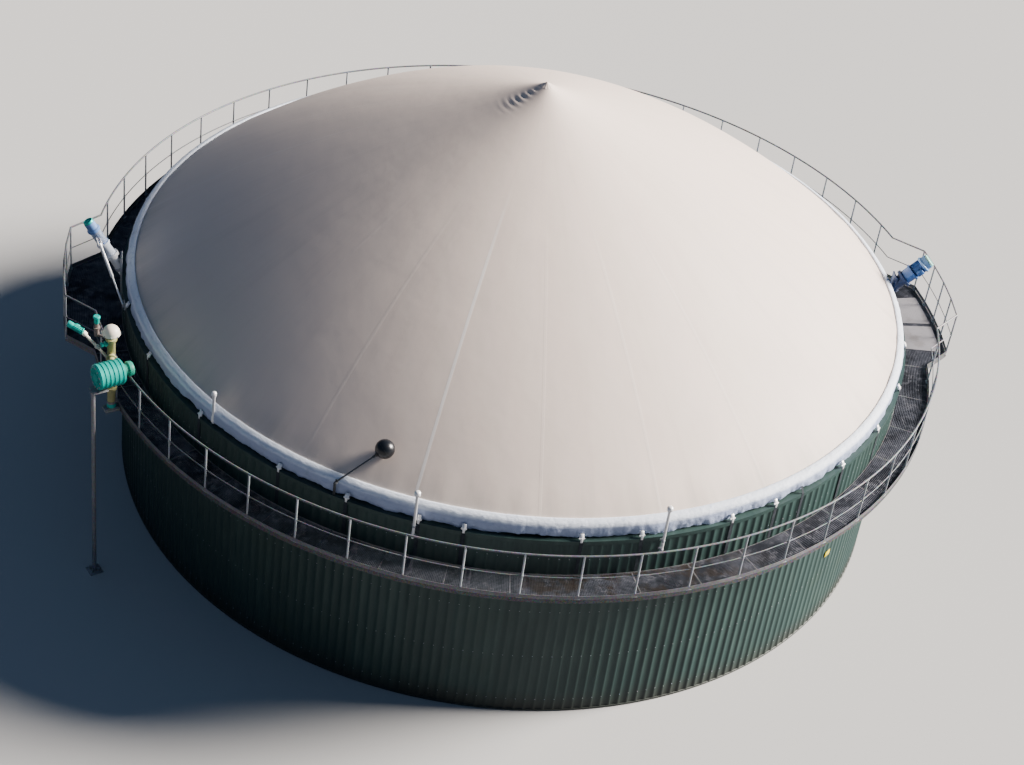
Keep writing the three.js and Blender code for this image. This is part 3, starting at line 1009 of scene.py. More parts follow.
@dataclass
class MembraneRoof:
    """The tent-shaped membrane, from the clamped edge to the tip."""

    eave: float = 4.95
    rise: float = 4.9
    straight: float = 0.71  # share of the rise that is a plain cone; the rest bulges
    bulge_power: float = 2.9
    peak: float = 0.15
    peak_radius: float = 0.45
    edge: float = 8.775
    tip_radius: float = 0.13
    top: float = 10.0
    thickness: float = 0.004
    steps: int = 330
    rings: int = 132
    folds_at: float = -166.0  # azimuth of the pinched folds by the tip
    fold_spread: float = 14.0  # their half width in degrees
    fold_height: float = 0.013
    fold_pitch: float = 0.14
    fold_skew: float = 3.0
    fold_begins: Pair = (0.13, 0.25)
    fold_ends: Pair = (0.55, 1.25)
    crown: float = 0.003  # height of each panel's bulge between its welds
    crown_begins: Pair = (2.0, 4.0)
    crown_ends: Pair = (8.0, 8.75)
    ripple: float = 0.02  # unevenness at the edge
    ripple_scale: float = 21.0
    ripple_begins: Pair = (7.9, 8.7)
    tip_rim: float = 0.15
    pleats: int = 12
    pleat_depth: float = 0.003
    pleats_begin: Pair = (0.02, 0.08)

    def height(self, radius: float) -> float:
        """Return the smooth roof's height.

        Args:
            radius: where, from the tank's axis.

        Returns:
            The height above the ground.
        """
        t = radius / ROOF_R
        cone = 1 - self.straight * t - (1 - self.straight) * t**self.bulge_power
        return self.eave + self.rise * cone + self.peak * math.exp(-radius / self.peak_radius)

    def surface(self, point: Vector) -> Vector:
        """Return the roof's point, with its folds and slack, above a point in plan.

        Args:
            point: the point in plan.

        Returns:
            The point on the membrane.
        """
        radius = math.hypot(point.x, point.y)
        azimuth = math.degrees(math.atan2(point.y, point.x))
        height = self.height(radius)
        off = apart(azimuth, self.folds_at)
        window = math.exp(-((off / self.fold_spread) ** 2))
        window *= smooth(radius, *self.fold_begins) * (1 - smooth(radius, *self.fold_ends))
        phase = math.tau * radius / self.fold_pitch + math.radians(off) * self.fold_skew
        height += self.fold_height * window * math.sin(phase)
        panel = (azimuth - SEAM_AT) / 360 * SEAMS
        crown = self.crown * math.sin(math.pi * (panel % 1.0))
        height += crown * smooth(radius, *self.crown_begins) * (1 - smooth(radius, *self.crown_ends))
        ripple = noise.noise(around(1.0, azimuth, 0.0) * self.ripple_scale)
        height += self.ripple * smooth(radius, *self.ripple_begins) * ripple
        return Vector((point.x, point.y, height))

    def build(self) -> None:
        """Build the membrane and its tip."""
        roof = Workpiece()
        shares = [k / self.rings for k in range(self.rings + 1)]
        radii = [self.tip_radius + (self.edge - self.tip_radius) * (t**2) for t in shares]
        verts = [roof.bm.verts.new((r, 0.0, 0.0)) for r in radii]
        edges = [roof.bm.edges.new(pair) for pair in zip(verts, verts[1:])]
        bmesh.ops.spin(
            roof.bm, geom=verts + edges, axis=(0.0, 0.0, 1.0), cent=(0.0, 0.0, 0.0), angle=math.tau,
            steps=self.steps, use_merge=True,
        )
        roof.move(self.surface)
        bmesh.ops.recalc_face_normals(roof.bm, faces=roof.bm.faces)
        if sum(face.normal.z for face in roof.bm.faces) < 0:
            bmesh.ops.reverse_faces(roof.bm, faces=roof.bm.faces)
        bmesh.ops.solidify(roof.bm, geom=roof.bm.faces, thickness=self.thickness)
        piece = roof.finish("membrane_roof", [ROOF_CLOTH], Slot.MEMBRANE, ["roof_membrane"])
        pairs = list(zip(radii, radii[1:]))
        area = sum(
            math.pi * (a + b) * math.hypot(b - a, self.height(b) - self.height(a)) for a, b in pairs
        )
        slant = sum(math.hypot(b - a, self.height(b) - self.height(a)) for a, b in pairs)
        self.tip()

    def tip(self) -> None:
        """Build the gathered tip, a round patch with small pleats."""
        tip = Workpiece()
        edge, rim = self.tip_rim, self.height(self.tip_rim)
        patch = [
            (0.0, self.top), (0.016, self.top - 0.005), (0.04, self.top - 0.025), (0.08, self.top - 0.055),
            (0.12, self.height(0.12) + 0.006), (edge, rim + 0.004), (edge, rim + 0.001),
            (0.0, self.height(self.tip_radius)),
        ]
        tip.lathe(patch, Matrix(), 48)

        def pleat(p: Vector) -> Vector:
            """Return a point of the tip with its pleat."""
            depth = self.pleat_depth * math.sin(self.pleats * math.atan2(p.y, p.x))
            return Vector((p.x, p.y, p.z + depth * smooth(math.hypot(p.x, p.y), *self.pleats_begin)))

        tip.move(pleat)
        tip.finish("roof_tip_patch", [ROOF_CLOTH], Slot.MEMBRANE, ["roof_tip"])


@dataclass
class RoofHem:
    """The crinkled skirt of the membrane over the wall's rim, with its belts."""

    parts: int = 4
    steps: int = 560
    thickness: float = 0.003
    shoulder: float = 5.12  # height below which the cloth hangs
    drop: float = 0.3
    lowest: float = 4.781  # the flashing that the hem ends on
    wave: Pair = (0.035, 2.3)  # height and frequency of the wide waves
    fold: Pair = (0.026, 6.5)
    crease: Pair = (0.024, 11.0)
    lift: Triple = (0.022, 0.07, 1.5)  # how far the edge is raised, evenly and in waves, and their frequency
    ragged: Pair = (0.012, 8.0)
    pinch: float = 0.8  # half width of a belt's pinch in degrees
    pull: Pair = (0.012, 0.02)  # how far a belt pulls the cloth in and down
    slack: float = 1.05  # cut cloth for each metre of the profile
    profile: tuple[Pair, ...] = (
        (8.722, 5.13), (8.728, 5.152), (8.742, 5.162), (8.765, 5.16), (8.79, 5.151), (8.82, 5.138),
        (8.852, 5.12), (8.88, 5.09), (8.9, 5.052), (8.912, 5.006), (8.918, 4.96), (8.92, 4.914),
        (8.917, 4.87), (8.911, 4.827), (8.903, 4.784),
    )
    seen_belts: tuple[float, ...] = (
        -144.6, -130.0, -119.9, -110.2, -104.4, -89.5, -81.6, -68.6, -61.4, -47.6,
    )
    bare_belts: tuple[float, ...] = (-56.4,)  # without a buckle
    # The strap is wide so that the dark belt also covers its cast shadow beside it: painted shadow.
    strap: Triple = (0.004, 0.08, 0.86)
    strap_at: Pair = (9.008, 4.35)  # radius and height of its middle
    strap_end: tuple[Pair, Pair] = ((9.009, 4.778), (8.93, 4.93))  # where it runs on over the hem
    strap_end_size: Pair = (0.05, 0.005)
    buckle: Triple = (0.045, 0.09, 0.13)
    buckle_at: Pair = (8.965, 4.87)
    buckle_tilt: float = -28.0
    spindle: Pair = (0.018, 0.06)  # radius and half length of the ratchet's spindle
    spindle_at: Pair = (8.99, 4.845)
    hook: Triple = (0.012, 0.05, 0.12)
    hook_at: Pair = (9.006, 4.8)

    def belts(self) -> list[float]:
        """Return the azimuths of the belts; those out of sight follow an even pitch."""
        return [*self.seen_belts, *(float(a) for a in range(-37, 170, 11)), 189.0, 201.0]

    def crinkle(self, point: Vector) -> Vector:
        """Return a point of the hem with its folds.

        Args:
            point: the point on the smooth hem.

        Returns:
            The point on the crinkled one.
        """
        radius, azimuth = math.hypot(point.x, point.y), math.atan2(point.y, point.x)
        hang = smooth(self.shoulder - point.z, 0.0, self.drop)
        flat = Vector((math.cos(azimuth), math.sin(azimuth), 0.0)) * WALL_R
        wave = noise.noise(flat * self.wave[1]) * self.wave[0] * hang
        fold = noise.noise(flat * self.fold[1] + Vector((0, 0, point.z * 3))) * self.fold[0] * (0.15 + hang)
        crease = abs(noise.noise(flat * self.crease[1] + Vector((3, 1, point.z * 14)))) * self.crease[0]
        even, waves, frequency = self.lift
        lift = (even + noise.noise(flat * frequency + Vector((7, 2, 5))) * waves) * hang
        ragged = noise.noise(flat * self.ragged[1] + Vector((5, 5, 5))) * self.ragged[0] * hang
        degrees = math.degrees(azimuth)
        pinch = sum(math.exp(-((apart(degrees, belt) / self.pinch) ** 2)) for belt in self.belts())
        pull_in, pull_down = (depth * pinch * hang for depth in self.pull)
        radius += wave + fold - crease * (0.2 + 0.8 * hang) - pull_in
        height = max(point.z + lift + ragged - pull_down, self.lowest)
        return Vector((radius * math.cos(azimuth), radius * math.sin(azimuth), height))

    def build(self) -> None:
        """Build every length of the hem and the belts."""
        for number in range(self.parts):
            self.length(number)
        self.buckles()

    def length(self, number: int) -> None:
        """Build one length.

        Args:
            number: the length, counted from 0.
        """
        start, angle = 360 / self.parts * number, 360 / self.parts
        hem = Workpiece()
        verts = [hem.bm.verts.new(around(r, start, z)) for r, z in self.profile]
        edges = [hem.bm.edges.new(pair) for pair in zip(verts, verts[1:])]
        hem.spin(angle, self.steps)
        hem.move(self.crinkle)
        bmesh.ops.recalc_face_normals(hem.bm, faces=hem.bm.faces)
        bmesh.ops.solidify(hem.bm, geom=hem.bm.faces, thickness=self.thickness)
        piece = hem.finish(f"hem_cloth_{number + 1}", [HEM_CLOTH], Slot.HEM, [f"roof_hem_{number + 1}"])

    def buckles(self) -> None:
        """Build the belts from the hem down to the deck, most of them with a buckle."""
        belts = Workpiece()
        for azimuth in (*self.belts(), *self.bare_belts):
            belts.block(self.strap, outward(self.strap_at[0], azimuth, self.strap_at[1]))
            belts.bar(*(around(r, azimuth, z) for r, z in self.strap_end), *self.strap_end_size)
            if azimuth in self.bare_belts:
                continue
            tilted = outward(self.buckle_at[0], azimuth, self.buckle_at[1]) @ turned(self.buckle_tilt, "Y")
            belts.block(self.buckle, tilted, 1, 0.012)
            radius, half = self.spindle
            middle = outward(self.spindle_at[0], azimuth, self.spindle_at[1])
            ends = (middle @ Vector((0, aside, 0)) for aside in (-half, half))
            belts.rod(*ends, radius, sides=10, material=1)
            belts.block(self.hook, outward(self.hook_at[0], azimuth, self.hook_at[1]), 1, 0.004)
        belts.finish("hem_belts", [WEBBING_AND_SHADOW, WHITE], Slot.WHITE)


@dataclass
class GratedDeck:
    """What the walkway and the platforms share: grating bars, rods and consoles."""

    inner: float = 9.016
    bar: Triple = (0.003, 0.03, 0.0333)  # thickness, height and pitch of the bearing bars
    bar_drop: float = 0.002  # how far the bars lie below the deck's level
    rod: Pair = (0.003, 0.012)  # half width and height of a cross rod
    rod_pitch: float = 0.038
    rim: Pair = (3.862, DECK_Z)  # the flat bar along the wall
    rim_width: float = 0.005
    plate: Triple = (0.012, 0.12, 0.42)  # the console's plate on the wall
    plate_at: Pair = (9.008, 3.66)
    gusset: Triple = (0.14, 0.008, 0.12)
    gusset_at: Pair = (9.085, 3.745)
    end_plate: Triple = (0.008, 0.08, 0.09)
    end_plate_z: float = 3.825
    beam: Pair = (0.06, 0.05)  # its section
    beam_z: float = 3.832
    strut: Pair = (0.045, 0.045)
    strut_z: Pair = (3.49, 3.8)
    bolt_rows: Triple = (3.48, 3.6, 3.84)
    bolt_aside: float = 0.042
    bolt: float = 0.016

    def bars(self, into: Workpiece, start: float, end: float, outer: float) -> None:
        """Add the radial bars between two azimuths.

        Args:
            into: the workpiece.
            start: first azimuth.
            end: last azimuth.
            outer: the bars' outer radius.
        """
        count = round(math.radians(end - start) * (self.inner + outer) / 2 / self.bar[2])
        part = Workpiece()
        self.bearing_bar(part, start, outer)
        part.spin((end - start) * (count - 1) / count, count - 1, copies=True)
        into.take(part)

    def bearing_bar(self, into: Workpiece, azimuth: float, outer: float) -> None:
        """Add one radial bar, out to a radius."""
        middle = outward((self.inner + outer) / 2, azimuth, DECK_Z - self.bar_drop - self.bar[1] / 2)
        into.block((outer - self.inner, self.bar[0], self.bar[1]), middle)

    def cross_rod(self, number: int) -> tuple[float, list[Pair]]:
        """Return the radius and the section of a cross rod, counted from the wall."""
        radius = self.inner + number * self.rod_pitch
        return radius, slab(radius - self.rod[0], radius + self.rod[0], DECK_Z - self.rod[1], DECK_Z)

    def wall_rim(self) -> list[Pair]:
        """Return the section of the flat bar along the wall."""
        return slab(self.inner - self.rim_width, self.inner, *self.rim)

    def console(self, reach: float) -> Workpiece:
        """Return one console at azimuth 0.

        Args:
            reach: radius of its outer end.

        Returns:
            A wall plate, a beam, a strut and bolts.
        """
        part = Workpiece()
        part.block(self.plate, outward(self.plate_at[0], 0, self.plate_at[1]), 1, 0.002)
        part.bar(Vector((9.01, 0, self.beam_z)), Vector((reach, 0, self.beam_z)), *self.beam, 1)
        low, high = self.strut_z
        part.bar(Vector((9.02, 0, low)), Vector((reach - 0.06, 0, high)), *self.strut, 1)
        part.block(self.end_plate, outward(reach, 0, self.end_plate_z), 1)
        part.block(self.gusset, outward(self.gusset_at[0], 0, self.gusset_at[1]), 1)
        for side in (-self.bolt_aside, self.bolt_aside):
            for height in self.bolt_rows:
                hexagon(moved(9.014, side, height), self.bolt, 1, part)
        return part


@dataclass
class Walkway(GratedDeck):
    """The grated walkway round the rim, in four lengths."""

    panels: int = 10
    step: float = 1.9  # degrees of each straight length
    outer: float = DECK_R - 0.04  # end of the bearing bars
    seam: Triple = (0.684, 0.005, 0.036)  # the flat bars where two panels meet
    seam_at: Pair = (9.358, 3.881)
    seam_aside: float = 0.006
    channel: tuple[Pair, ...] = (
        (9.7, 3.8), (9.738, 3.8), (9.738, 3.9), (9.7, 3.9), (9.7, 3.892), (9.73, 3.892), (9.73, 3.808),
        (9.7, 3.808),
    )
    reach: float = 9.69  # of the consoles

    def build(self) -> None:
        """Build the four lengths."""
        half = 180 - 2 * PLATFORM_HALF
        for side, start in (("back", PLATFORM_HALF), ("front", LEFT + PLATFORM_HALF)):
            self.length(f"{side}_1", start, start + half / 2)
            self.length(f"{side}_2", start + half / 2, start + half)

    def length(self, name: str, start: float, end: float) -> None:
        """Build one length.

        Args:
            name: end of the node's name.
            start: azimuth where it begins.
            end: azimuth where it ends.
        """
        deck = Workpiece()
        steps = round((end - start) / self.step)
        self.bars(deck, start, end, self.outer)
        for number in range(1, int((self.outer - self.inner) / self.rod_pitch)):
            deck.sweep(self.cross_rod(number)[1], start, end, steps)
        deck.sweep(self.wall_rim(), start, end, steps, 1)
        deck.sweep(self.channel, start, end, steps, 2)
        for azimuth in spread(start, end, self.panels):
            middle = outward(self.seam_at[0], azimuth, self.seam_at[1])
            for aside in (-self.seam_aside, self.seam_aside):
                deck.block(self.seam, middle @ moved(0, aside, 0), 1)
        flats = round((end - start) / FACET)
        consoles = [outward(0, start + (k + 0.5) * FACET, 0) for k in range(1, flats, 2)]
        deck.take(self.console(self.reach), consoles)
        # The edge channel's near-black zinc is painted shade.
        finishes = [GRATING, OLD_ZINC, CHANNEL_SHADE_ZINC]
        deck.finish(f"grated_walkway_{name}", finishes, Slot.GRATING, [f"walkway_{name}"])


def platform_radius(azimuth: float) -> float:
    """Return the radius of the platform's outline.

    Args:
        azimuth: where, counted from the platform's middle.

    Returns:
        The radius.
    """
    off = abs(azimuth)
    if off <= PLATFORM_CORNER:
        return PLATFORM_R
    share = (off - PLATFORM_CORNER) / (PLATFORM_HALF - PLATFORM_CORNER)
    return PLATFORM_R + (DECK_R - PLATFORM_R) * share


def platform_path(middle: float, inset: float, height: float) -> list[Vector]:
    """Return the platform's outline as points.

    Args:
        middle: azimuth of the platform's middle.
        inset: how far inside the outline they lie.
        height: their height.

    Returns:
        One point at every flat of the wall.
    """
    steps = round(2 * PLATFORM_HALF / FACET)
    offs = spread(-PLATFORM_HALF, PLATFORM_HALF, steps)
    return [around(platform_radius(a) - inset, middle + a, height) for a in offs]


def platform_sides(middle: float, inset: float, height: float) -> list[tuple[float, Matrix]]:
    """Return the straight sides of the platform's outline.

    Args:
        middle: azimuth of the platform's middle.
        inset: how far inside the outline they lie.
        height: their height.

    Returns:
        The length of each, and the place of its middle with X along it.
    """
    path = platform_path(middle, inset, height)
    sides = []
    for start, end in zip(path, path[1:]):
        turn = Matrix.Rotation(math.atan2(end.y - start.y, end.x - start.x), 4, "Z")
        sides.append(((end - start).length, Matrix.Translation((start + end) / 2) @ turn))
    return sides


@dataclass
class ServicePlatform(GratedDeck):
    """A platform that widens the walkway at an agitator."""

    side: str = "right"
    middle: float = RIGHT
    plates: tuple[Pair, ...] = ()  # azimuths between which a solid plate is laid
    plate_section: tuple[float, ...] = (9.1, 10.16, 3.902, 3.912)
    steps: int = 12  # straight lengths of what is swept
    bar_count: int = 113
    bar_margin: float = 0.1  # degrees from the platform's ends to the outermost bars
    inset: float = 0.045  # of the bars from the outline
    rod_margin: float = 0.05
    edge: Pair = (0.03, 0.08)  # width and height of the edge bar
    edge_at: Pair = (0.02, 3.86)  # its inset and height
    console_flats: tuple[float, ...] = (-2.5, -1.5, -0.5, 0.5, 1.5, 2.5)
    console_inset: float = 0.12

    def build(self) -> None:
        """Build the platform and the plates laid on it."""
        deck = Workpiece()
        reach = PLATFORM_HALF - self.bar_margin
        for off in spread(-reach, reach, self.bar_count - 1):
            self.bearing_bar(deck, self.middle + off, platform_radius(off) - self.inset)
        for number in range(1, int((PLATFORM_R - self.inner) / self.rod_pitch) - 1):
            radius, section = self.cross_rod(number)
            outside = max(0.0, (radius - DECK_R + 0.05) / (PLATFORM_R - DECK_R))
            half = PLATFORM_HALF - outside * (PLATFORM_HALF - PLATFORM_CORNER) - self.rod_margin
            deck.sweep(section, self.middle - half, self.middle + half, self.steps)
        for length, place in platform_sides(self.middle, *self.edge_at):
            deck.block((length + 0.02, *self.edge), place, 3)
        first, last = self.middle - PLATFORM_HALF, self.middle + PLATFORM_HALF
        deck.sweep(self.wall_rim(), first, last, self.steps, 1)
        for flats in self.console_flats:
            reach = (DECK_R if abs(flats) > 2 else PLATFORM_R) - self.console_inset
            deck.take(self.console(reach), [outward(0, self.middle + flats * FACET, 0)])
        for start, end in self.plates:
            deck.sweep(slab(*self.plate_section), start, end, 3, 2)
        deck.finish(f"grated_platform_{self.side}", [GRATING, OLD_ZINC, TREAD, EDGE_ZINC], Slot.GRATING,
                    [f"platform_{self.side}"])


@dataclass
class Guardrail:
    """Round posts, a top rail, a knee rail and a toe plate."""

    pipe: float = 0.021  # radius of the top rail
    knee: float = 0.012
    knee_z: float = 4.465
    post: float = 0.021
    foot: Triple = (0.06, 0.12, 0.01)
    collar: Pair = (1.3, 0.028)  # share of the post's radius, and half its height
    bolt: float = 0.012
    bolt_aside: float = 0.042
    toe: Pair = (3.905, 4.0)  # lower and upper edge of the toe plate
    toe_r: Pair = (0.018, 0.024)  # its faces, outside the posts' axis
    posts_half: int = 23  # posts from platform to platform
    step: float = 2.6  # degrees of two straight lengths of rail

    def posts(self, places: Sequence[Matrix], into: Workpiece) -> None:
        """Add posts, each with its foot and its collars at the rails.

        Args:
            places: where they stand on the deck.
            into: the railing.
        """
        part = Workpiece()
        top = Vector((0, 0, RAIL_TOP - DECK_Z - self.pipe))
        part.rod(Vector((0, 0, 0.008)), top, self.post, sides=10)
        part.block(self.foot, moved(-0.004, 0, 0.007), bevel=0.002)
        part.rod(top - Vector((0, 0, 0.03)), top + Vector((0, 0, 0.004)), self.post * 1.25, sides=10)
        share, half = self.collar
        ends = (Vector((0, 0, self.knee_z - DECK_Z + up)) for up in (-half, half))
        part.rod(*ends, self.post * share, sides=10)
        for aside in (-self.bolt_aside, self.bolt_aside):
            hexagon(moved(-0.004, aside, 0.012) @ X_UP, self.bolt, 0, part)
        into.take(part, places)

    def build(self) -> None:
        """Build the curved railings and those of the two platforms."""
        half = 180 - 2 * PLATFORM_HALF
        pitch = half / self.posts_half
        first = math.ceil(self.posts_half / 2)
        for side, start in (("back", PLATFORM_HALF), ("front", LEFT + PLATFORM_HALF)):
            self.curved(f"{side}_1", start, start + first * pitch, first)
            self.curved(f"{side}_2", start + first * pitch, start + half, self.posts_half - first)
        for side, middle in (("left", LEFT), ("right", RIGHT)):
            self.cornered(side, middle)

    def curved(self, name: str, start: float, end: float, count: int) -> None:
        """Build one curved length.

        Args:
            name: end of the node's name.
            start: azimuth where it begins.
            end: azimuth where it ends.
            count: number of posts.
        """
        rail = Workpiece()
        radius = DECK_R - RAIL_INSET
        pitch = (end - start) / count
        steps = 2 * round((end - start) / self.step)
        rail.sweep(ring(radius, RAIL_TOP - self.pipe, self.pipe), start, end, steps)
        rail.sweep(ring(radius, self.knee_z, self.knee, 8), start, end, steps)
        # The rails take the darker zinc of painted shade.
        rail.dress(1)
        inner, outer = self.toe_r
        rail.sweep(slab(radius + inner, radius + outer, *self.toe), start, end, steps, 2)
        places = [outward(radius, start + (k + 0.5) * pitch, DECK_Z) for k in range(count)]
        self.posts(places, rail)
        rail.finish(f"guardrail_{name}", [ZINC, SHADED_RAIL_ZINC, EDGE_ZINC], Slot.GALVANISED, [f"railing_{name}"])

    def cornered(self, side: str, middle: float) -> None:
        """Build the railing round one platform.

        Args:
            side: end of the node's name.
            middle: azimuth of the platform's middle.
        """
        rail = Workpiece()
        for height, pipe in ((RAIL_TOP - self.pipe, self.pipe), (self.knee_z, self.knee)):
            path = platform_path(middle, RAIL_INSET, height)
            for start, end in zip(path, path[1:]):
                rail.rod(start, end, pipe, sides=10)
            for point in path[1:-1]:
                place = Matrix.Translation(point)
                bmesh.ops.create_icosphere(rail.bm, subdivisions=2, radius=pipe * 1.02, matrix=place)
        rail.dress(1)
        low, high = self.toe
        inner, outer = self.toe_r
        for length, place in platform_sides(middle, RAIL_INSET - (inner + outer) / 2, (low + high) / 2):
            rail.block((length, outer - inner, high - low), place, 2)
        offs = spread(-PLATFORM_CORNER, PLATFORM_CORNER, round(2 * PLATFORM_CORNER / FACET))
        places = [outward(PLATFORM_R - RAIL_INSET, middle + a, DECK_Z) for a in offs]
        self.posts(places, rail)
        # Painted shade: the right platform's rails take the lighter old zinc, the others the darker shaded
        # zinc.
        rails = OLD_ZINC if side == "right" else SHADED_RAIL_ZINC
        finishes = [ZINC, rails, EDGE_ZINC]
        rail.finish(f"guardrail_{side}", finishes, Slot.GALVANISED, [f"platform_railing_{side}"])


@dataclass
class Agitator:
    """A slanted agitator drive: flange, gear housing, finned motor and fan cowl, on a bolted mount."""

    side: str
    azimuth: float
    end_r: float
    end_z: float
    radius: float
    slot: Slot
    mount_slot: Slot
    finishes: tuple[Finish, ...]  # neck, motor, cowl, flange, end cover, fins, housing
    mount_finish: Finish
    box_finish: int  # which of the finishes the terminal box has
    foot_r: float = 9.12
    foot_z: float = 5.0
    face: float = 9.0506  # radius of the mount's outer face
    # shares of the drive's length where its sections meet
    stations: tuple[float, ...] = (0.0, 0.16, 0.22, 0.44, 0.48, 0.76, 0.8, 0.98)
    flats: int = 32
    fins: int = 26
    flange_bolts: int = 10
    flange_bolt: float = 0.014
    terminal_box: Triple = (0.09, 0.13, 0.16)
    mount_z: float = 4.69
    mount_plate: Triple = (0.018, 0.3, 1.08)
    mount_rib: Triple = (0.03, 0.012, 1.06)
    mount_rib_aside: float = 0.141
    mount_bar: Triple = (0.03, 0.27, 0.014)
    mount_bar_rows: Triple = (-0.5, -0.18, 0.5)
    mount_pad: Triple = (0.029, 0.22, 0.5)
    mount_bolt: float = 0.02
    mount_bolt_aside: float = 0.09
    mount_bolt_rows: Triple = (-0.43, -0.25, 0.46)

    def ends(self) -> tuple[Vector, Vector]:
        """Return the foot and the outer end of the drive's axis."""
        return around(self.foot_r, self.azimuth, self.foot_z), around(self.end_r, self.azimuth, self.end_z)

    def build(self) -> None:
        """Build the drive and its mount."""
        foot, end = self.ends()
        place = along(foot, end)
        r = self.radius
        drive = Workpiece()
        for profile, finish in self.profiles((end - foot).length):
            drive.lathe(profile, place, self.flats, finish)
        collar, motor_from, motor_to = ((end - foot).length * self.stations[k] for k in (1, 4, 5))
        middle = (motor_from + motor_to) / 2
        for turn in fan(self.fins):
            fin = (r * 0.2, 0.006, motor_to - motor_from - 0.02)
            drive.block(fin, place @ turn @ moved(r * 0.9, 0, middle), 5)
        drive.block(self.terminal_box, place @ moved(-r - 0.02, 0, middle), self.box_finish, 0.012)
        for turn in fan(self.flange_bolts, 0.5):
            seat = place @ turn @ moved(r + 0.024, 0, collar - 0.002) @ X_DOWN
            hexagon(seat, self.flange_bolt, 3, drive)
        out = around(1.0, self.azimuth, 0.0)
        drive.cut(out * self.face, out)
        drive.finish(f"agitator_drive_{self.side}", self.finishes, self.slot, [f"agitator_{self.side}"])
        self.mount()

    def profiles(self, length: float) -> list[tuple[list[Pair], int]]:
        """Return what is turned about the drive's axis.

        Args:
            length: the drive's length.

        Returns:
            Each profile with the number of its finish: neck, housing, motor, cowl, end cover and flange.
        """
        r = self.radius
        at = [share * length for share in self.stations]
        neck = [
            (0.0, -0.5), (r * 0.86, -0.5), (r * 0.86, at[1]), (r + 0.045, at[1]), (r + 0.045, at[2]),
            (r * 0.8, at[2] + 0.008), (0.0, at[2] + 0.008),
        ]
        housing = [
            (0.0, at[2] - 0.01), (r * 0.9, at[2] - 0.01), (r * 0.98, at[2] + 0.01), (r, at[3] - 0.03),
            (r + 0.03, at[3]), (r + 0.03, at[4]), (r * 0.8, at[4]), (0.0, at[4]),
        ]
        motor = [(0.0, at[4] - 0.01), (r * 0.84, at[4] - 0.01), (r * 0.84, at[5]), (0.0, at[5])]
        cowl = [
            (0.0, at[5] - 0.01), (r + 0.02, at[5] - 0.01), (r + 0.03, at[5] + 0.01), (r + 0.03, at[6]),
            (r, at[6] + 0.02), (r * 0.98, at[7] - 0.05), (0.0, at[7] - 0.05),
        ]
        cover = [
            (0.0, at[7] - 0.055), (r * 0.93, at[7] - 0.055), (r * 0.93, at[7] - 0.015), (r * 0.84, at[7]),
            (r * 0.7, at[7]), (r * 0.68, at[7] - 0.012), (r * 0.2, at[7] - 0.012), (r * 0.16, at[7]),
            (0.0, at[7]),
        ]
        flange = [(0.0, -0.16), (r * 1.02, -0.16), (r * 1.02, -0.1), (r * 0.9, -0.09), (0.0, -0.09)]
        return [(neck, 0), (housing, 6), (motor, 1), (cowl, 2), (cover, 4), (flange, 3)]

    def mount(self) -> None:
        """Build the bolted plate on the wall."""
        mount = Workpiece()
        place = outward(0.0, self.azimuth, self.mount_z)
        mount.block(self.mount_plate, place @ moved(9.0105, 0, 0), bevel=0.003)
        for aside in (-self.mount_rib_aside, self.mount_rib_aside):
            mount.block(self.mount_rib, place @ moved(9.033, aside, 0), bevel=0.002)
        for height in self.mount_bar_rows:
            mount.block(self.mount_bar, place @ moved(9.033, 0, height), bevel=0.002)
        mount.block(self.mount_pad, place @ moved(9.034, 0, 0.17), bevel=0.004)
        for aside in (-self.mount_bolt_aside, self.mount_bolt_aside):
            for height in self.mount_bolt_rows:
                hexagon(place @ moved(9.0195, aside, height), self.mount_bolt, 1, mount)
        mount.finish(f"agitator_plate_{self.side}", [self.mount_finish, ZINC], self.mount_slot,
                     [f"agitator_{self.side}_mount"])


@dataclass
class Stay:
    """The stay beside the left drive: a foot on the wall, a rod, and a thicker forked head."""

    drive: Agitator
    azimuth: float = -172.5
    foot_r: float = 9.0403
    foot_z: float = 4.69
    share: float = 0.72  # where along the drive it grips
    rod: float = 0.02  # radius of the thin lower part
    barrel_from: float = 0.66
    plate: Triple = (0.016, 0.16, 0.18)
    lug: Triple = (0.05, 0.012, 0.09)
    bolt: float = 0.014

    def build(self) -> None:
        """Build the stay."""
        foot, end = self.drive.ends()
        grip = foot.lerp(end, self.share)
        start = around(self.foot_r, self.azimuth, self.foot_z)
        direction = (grip - start).normalized()
        stop = grip - direction * (self.drive.radius + 0.03)
        stay = Workpiece()
        place = outward(9.0003, self.azimuth, self.foot_z)
        stay.block(self.plate, place @ moved(0.009, 0, 0), 1, 0.003)
        for aside in (-0.03, 0.03):
            stay.block(self.lug, place @ moved(0.035, aside, 0), 1, 0.003)
        for aside in (-0.06, 0.06):
            for height in (-0.065, 0.065):
                hexagon(place @ moved(0.017, aside, height), self.bolt, 1, stay)
        stay.rod(start - direction * 0.01, start + direction * 0.75, self.rod, sides=12)
        barrel = along(start + direction * self.barrel_from, stop)
        length = (stop - start).length - self.barrel_from
        profile = [
            (0.0, 0.0), (0.03, 0.0), (0.036, 0.01), (0.036, 0.06), (0.033, 0.07), (0.033, length - 0.2),
            (0.038, length - 0.19), (0.038, length - 0.13), (0.02, length - 0.12), (0.0, length - 0.12),
        ]
        stay.lathe(profile, barrel, 20)
        for aside in (-0.04, 0.04):
            stay.block((0.014, 0.05, 0.2), barrel @ moved(aside, 0, length - 0.08), 0, 0.004)
        pin = [barrel @ Vector((aside, 0, length - 0.02)) for aside in (-0.06, 0.06)]
        stay.rod(*pin, 0.012, sides=8, material=1)
        stay.finish("agitator_stay_rod", [WHITE, ZINC], Slot.WHITE, ["agitator_left_stay"])


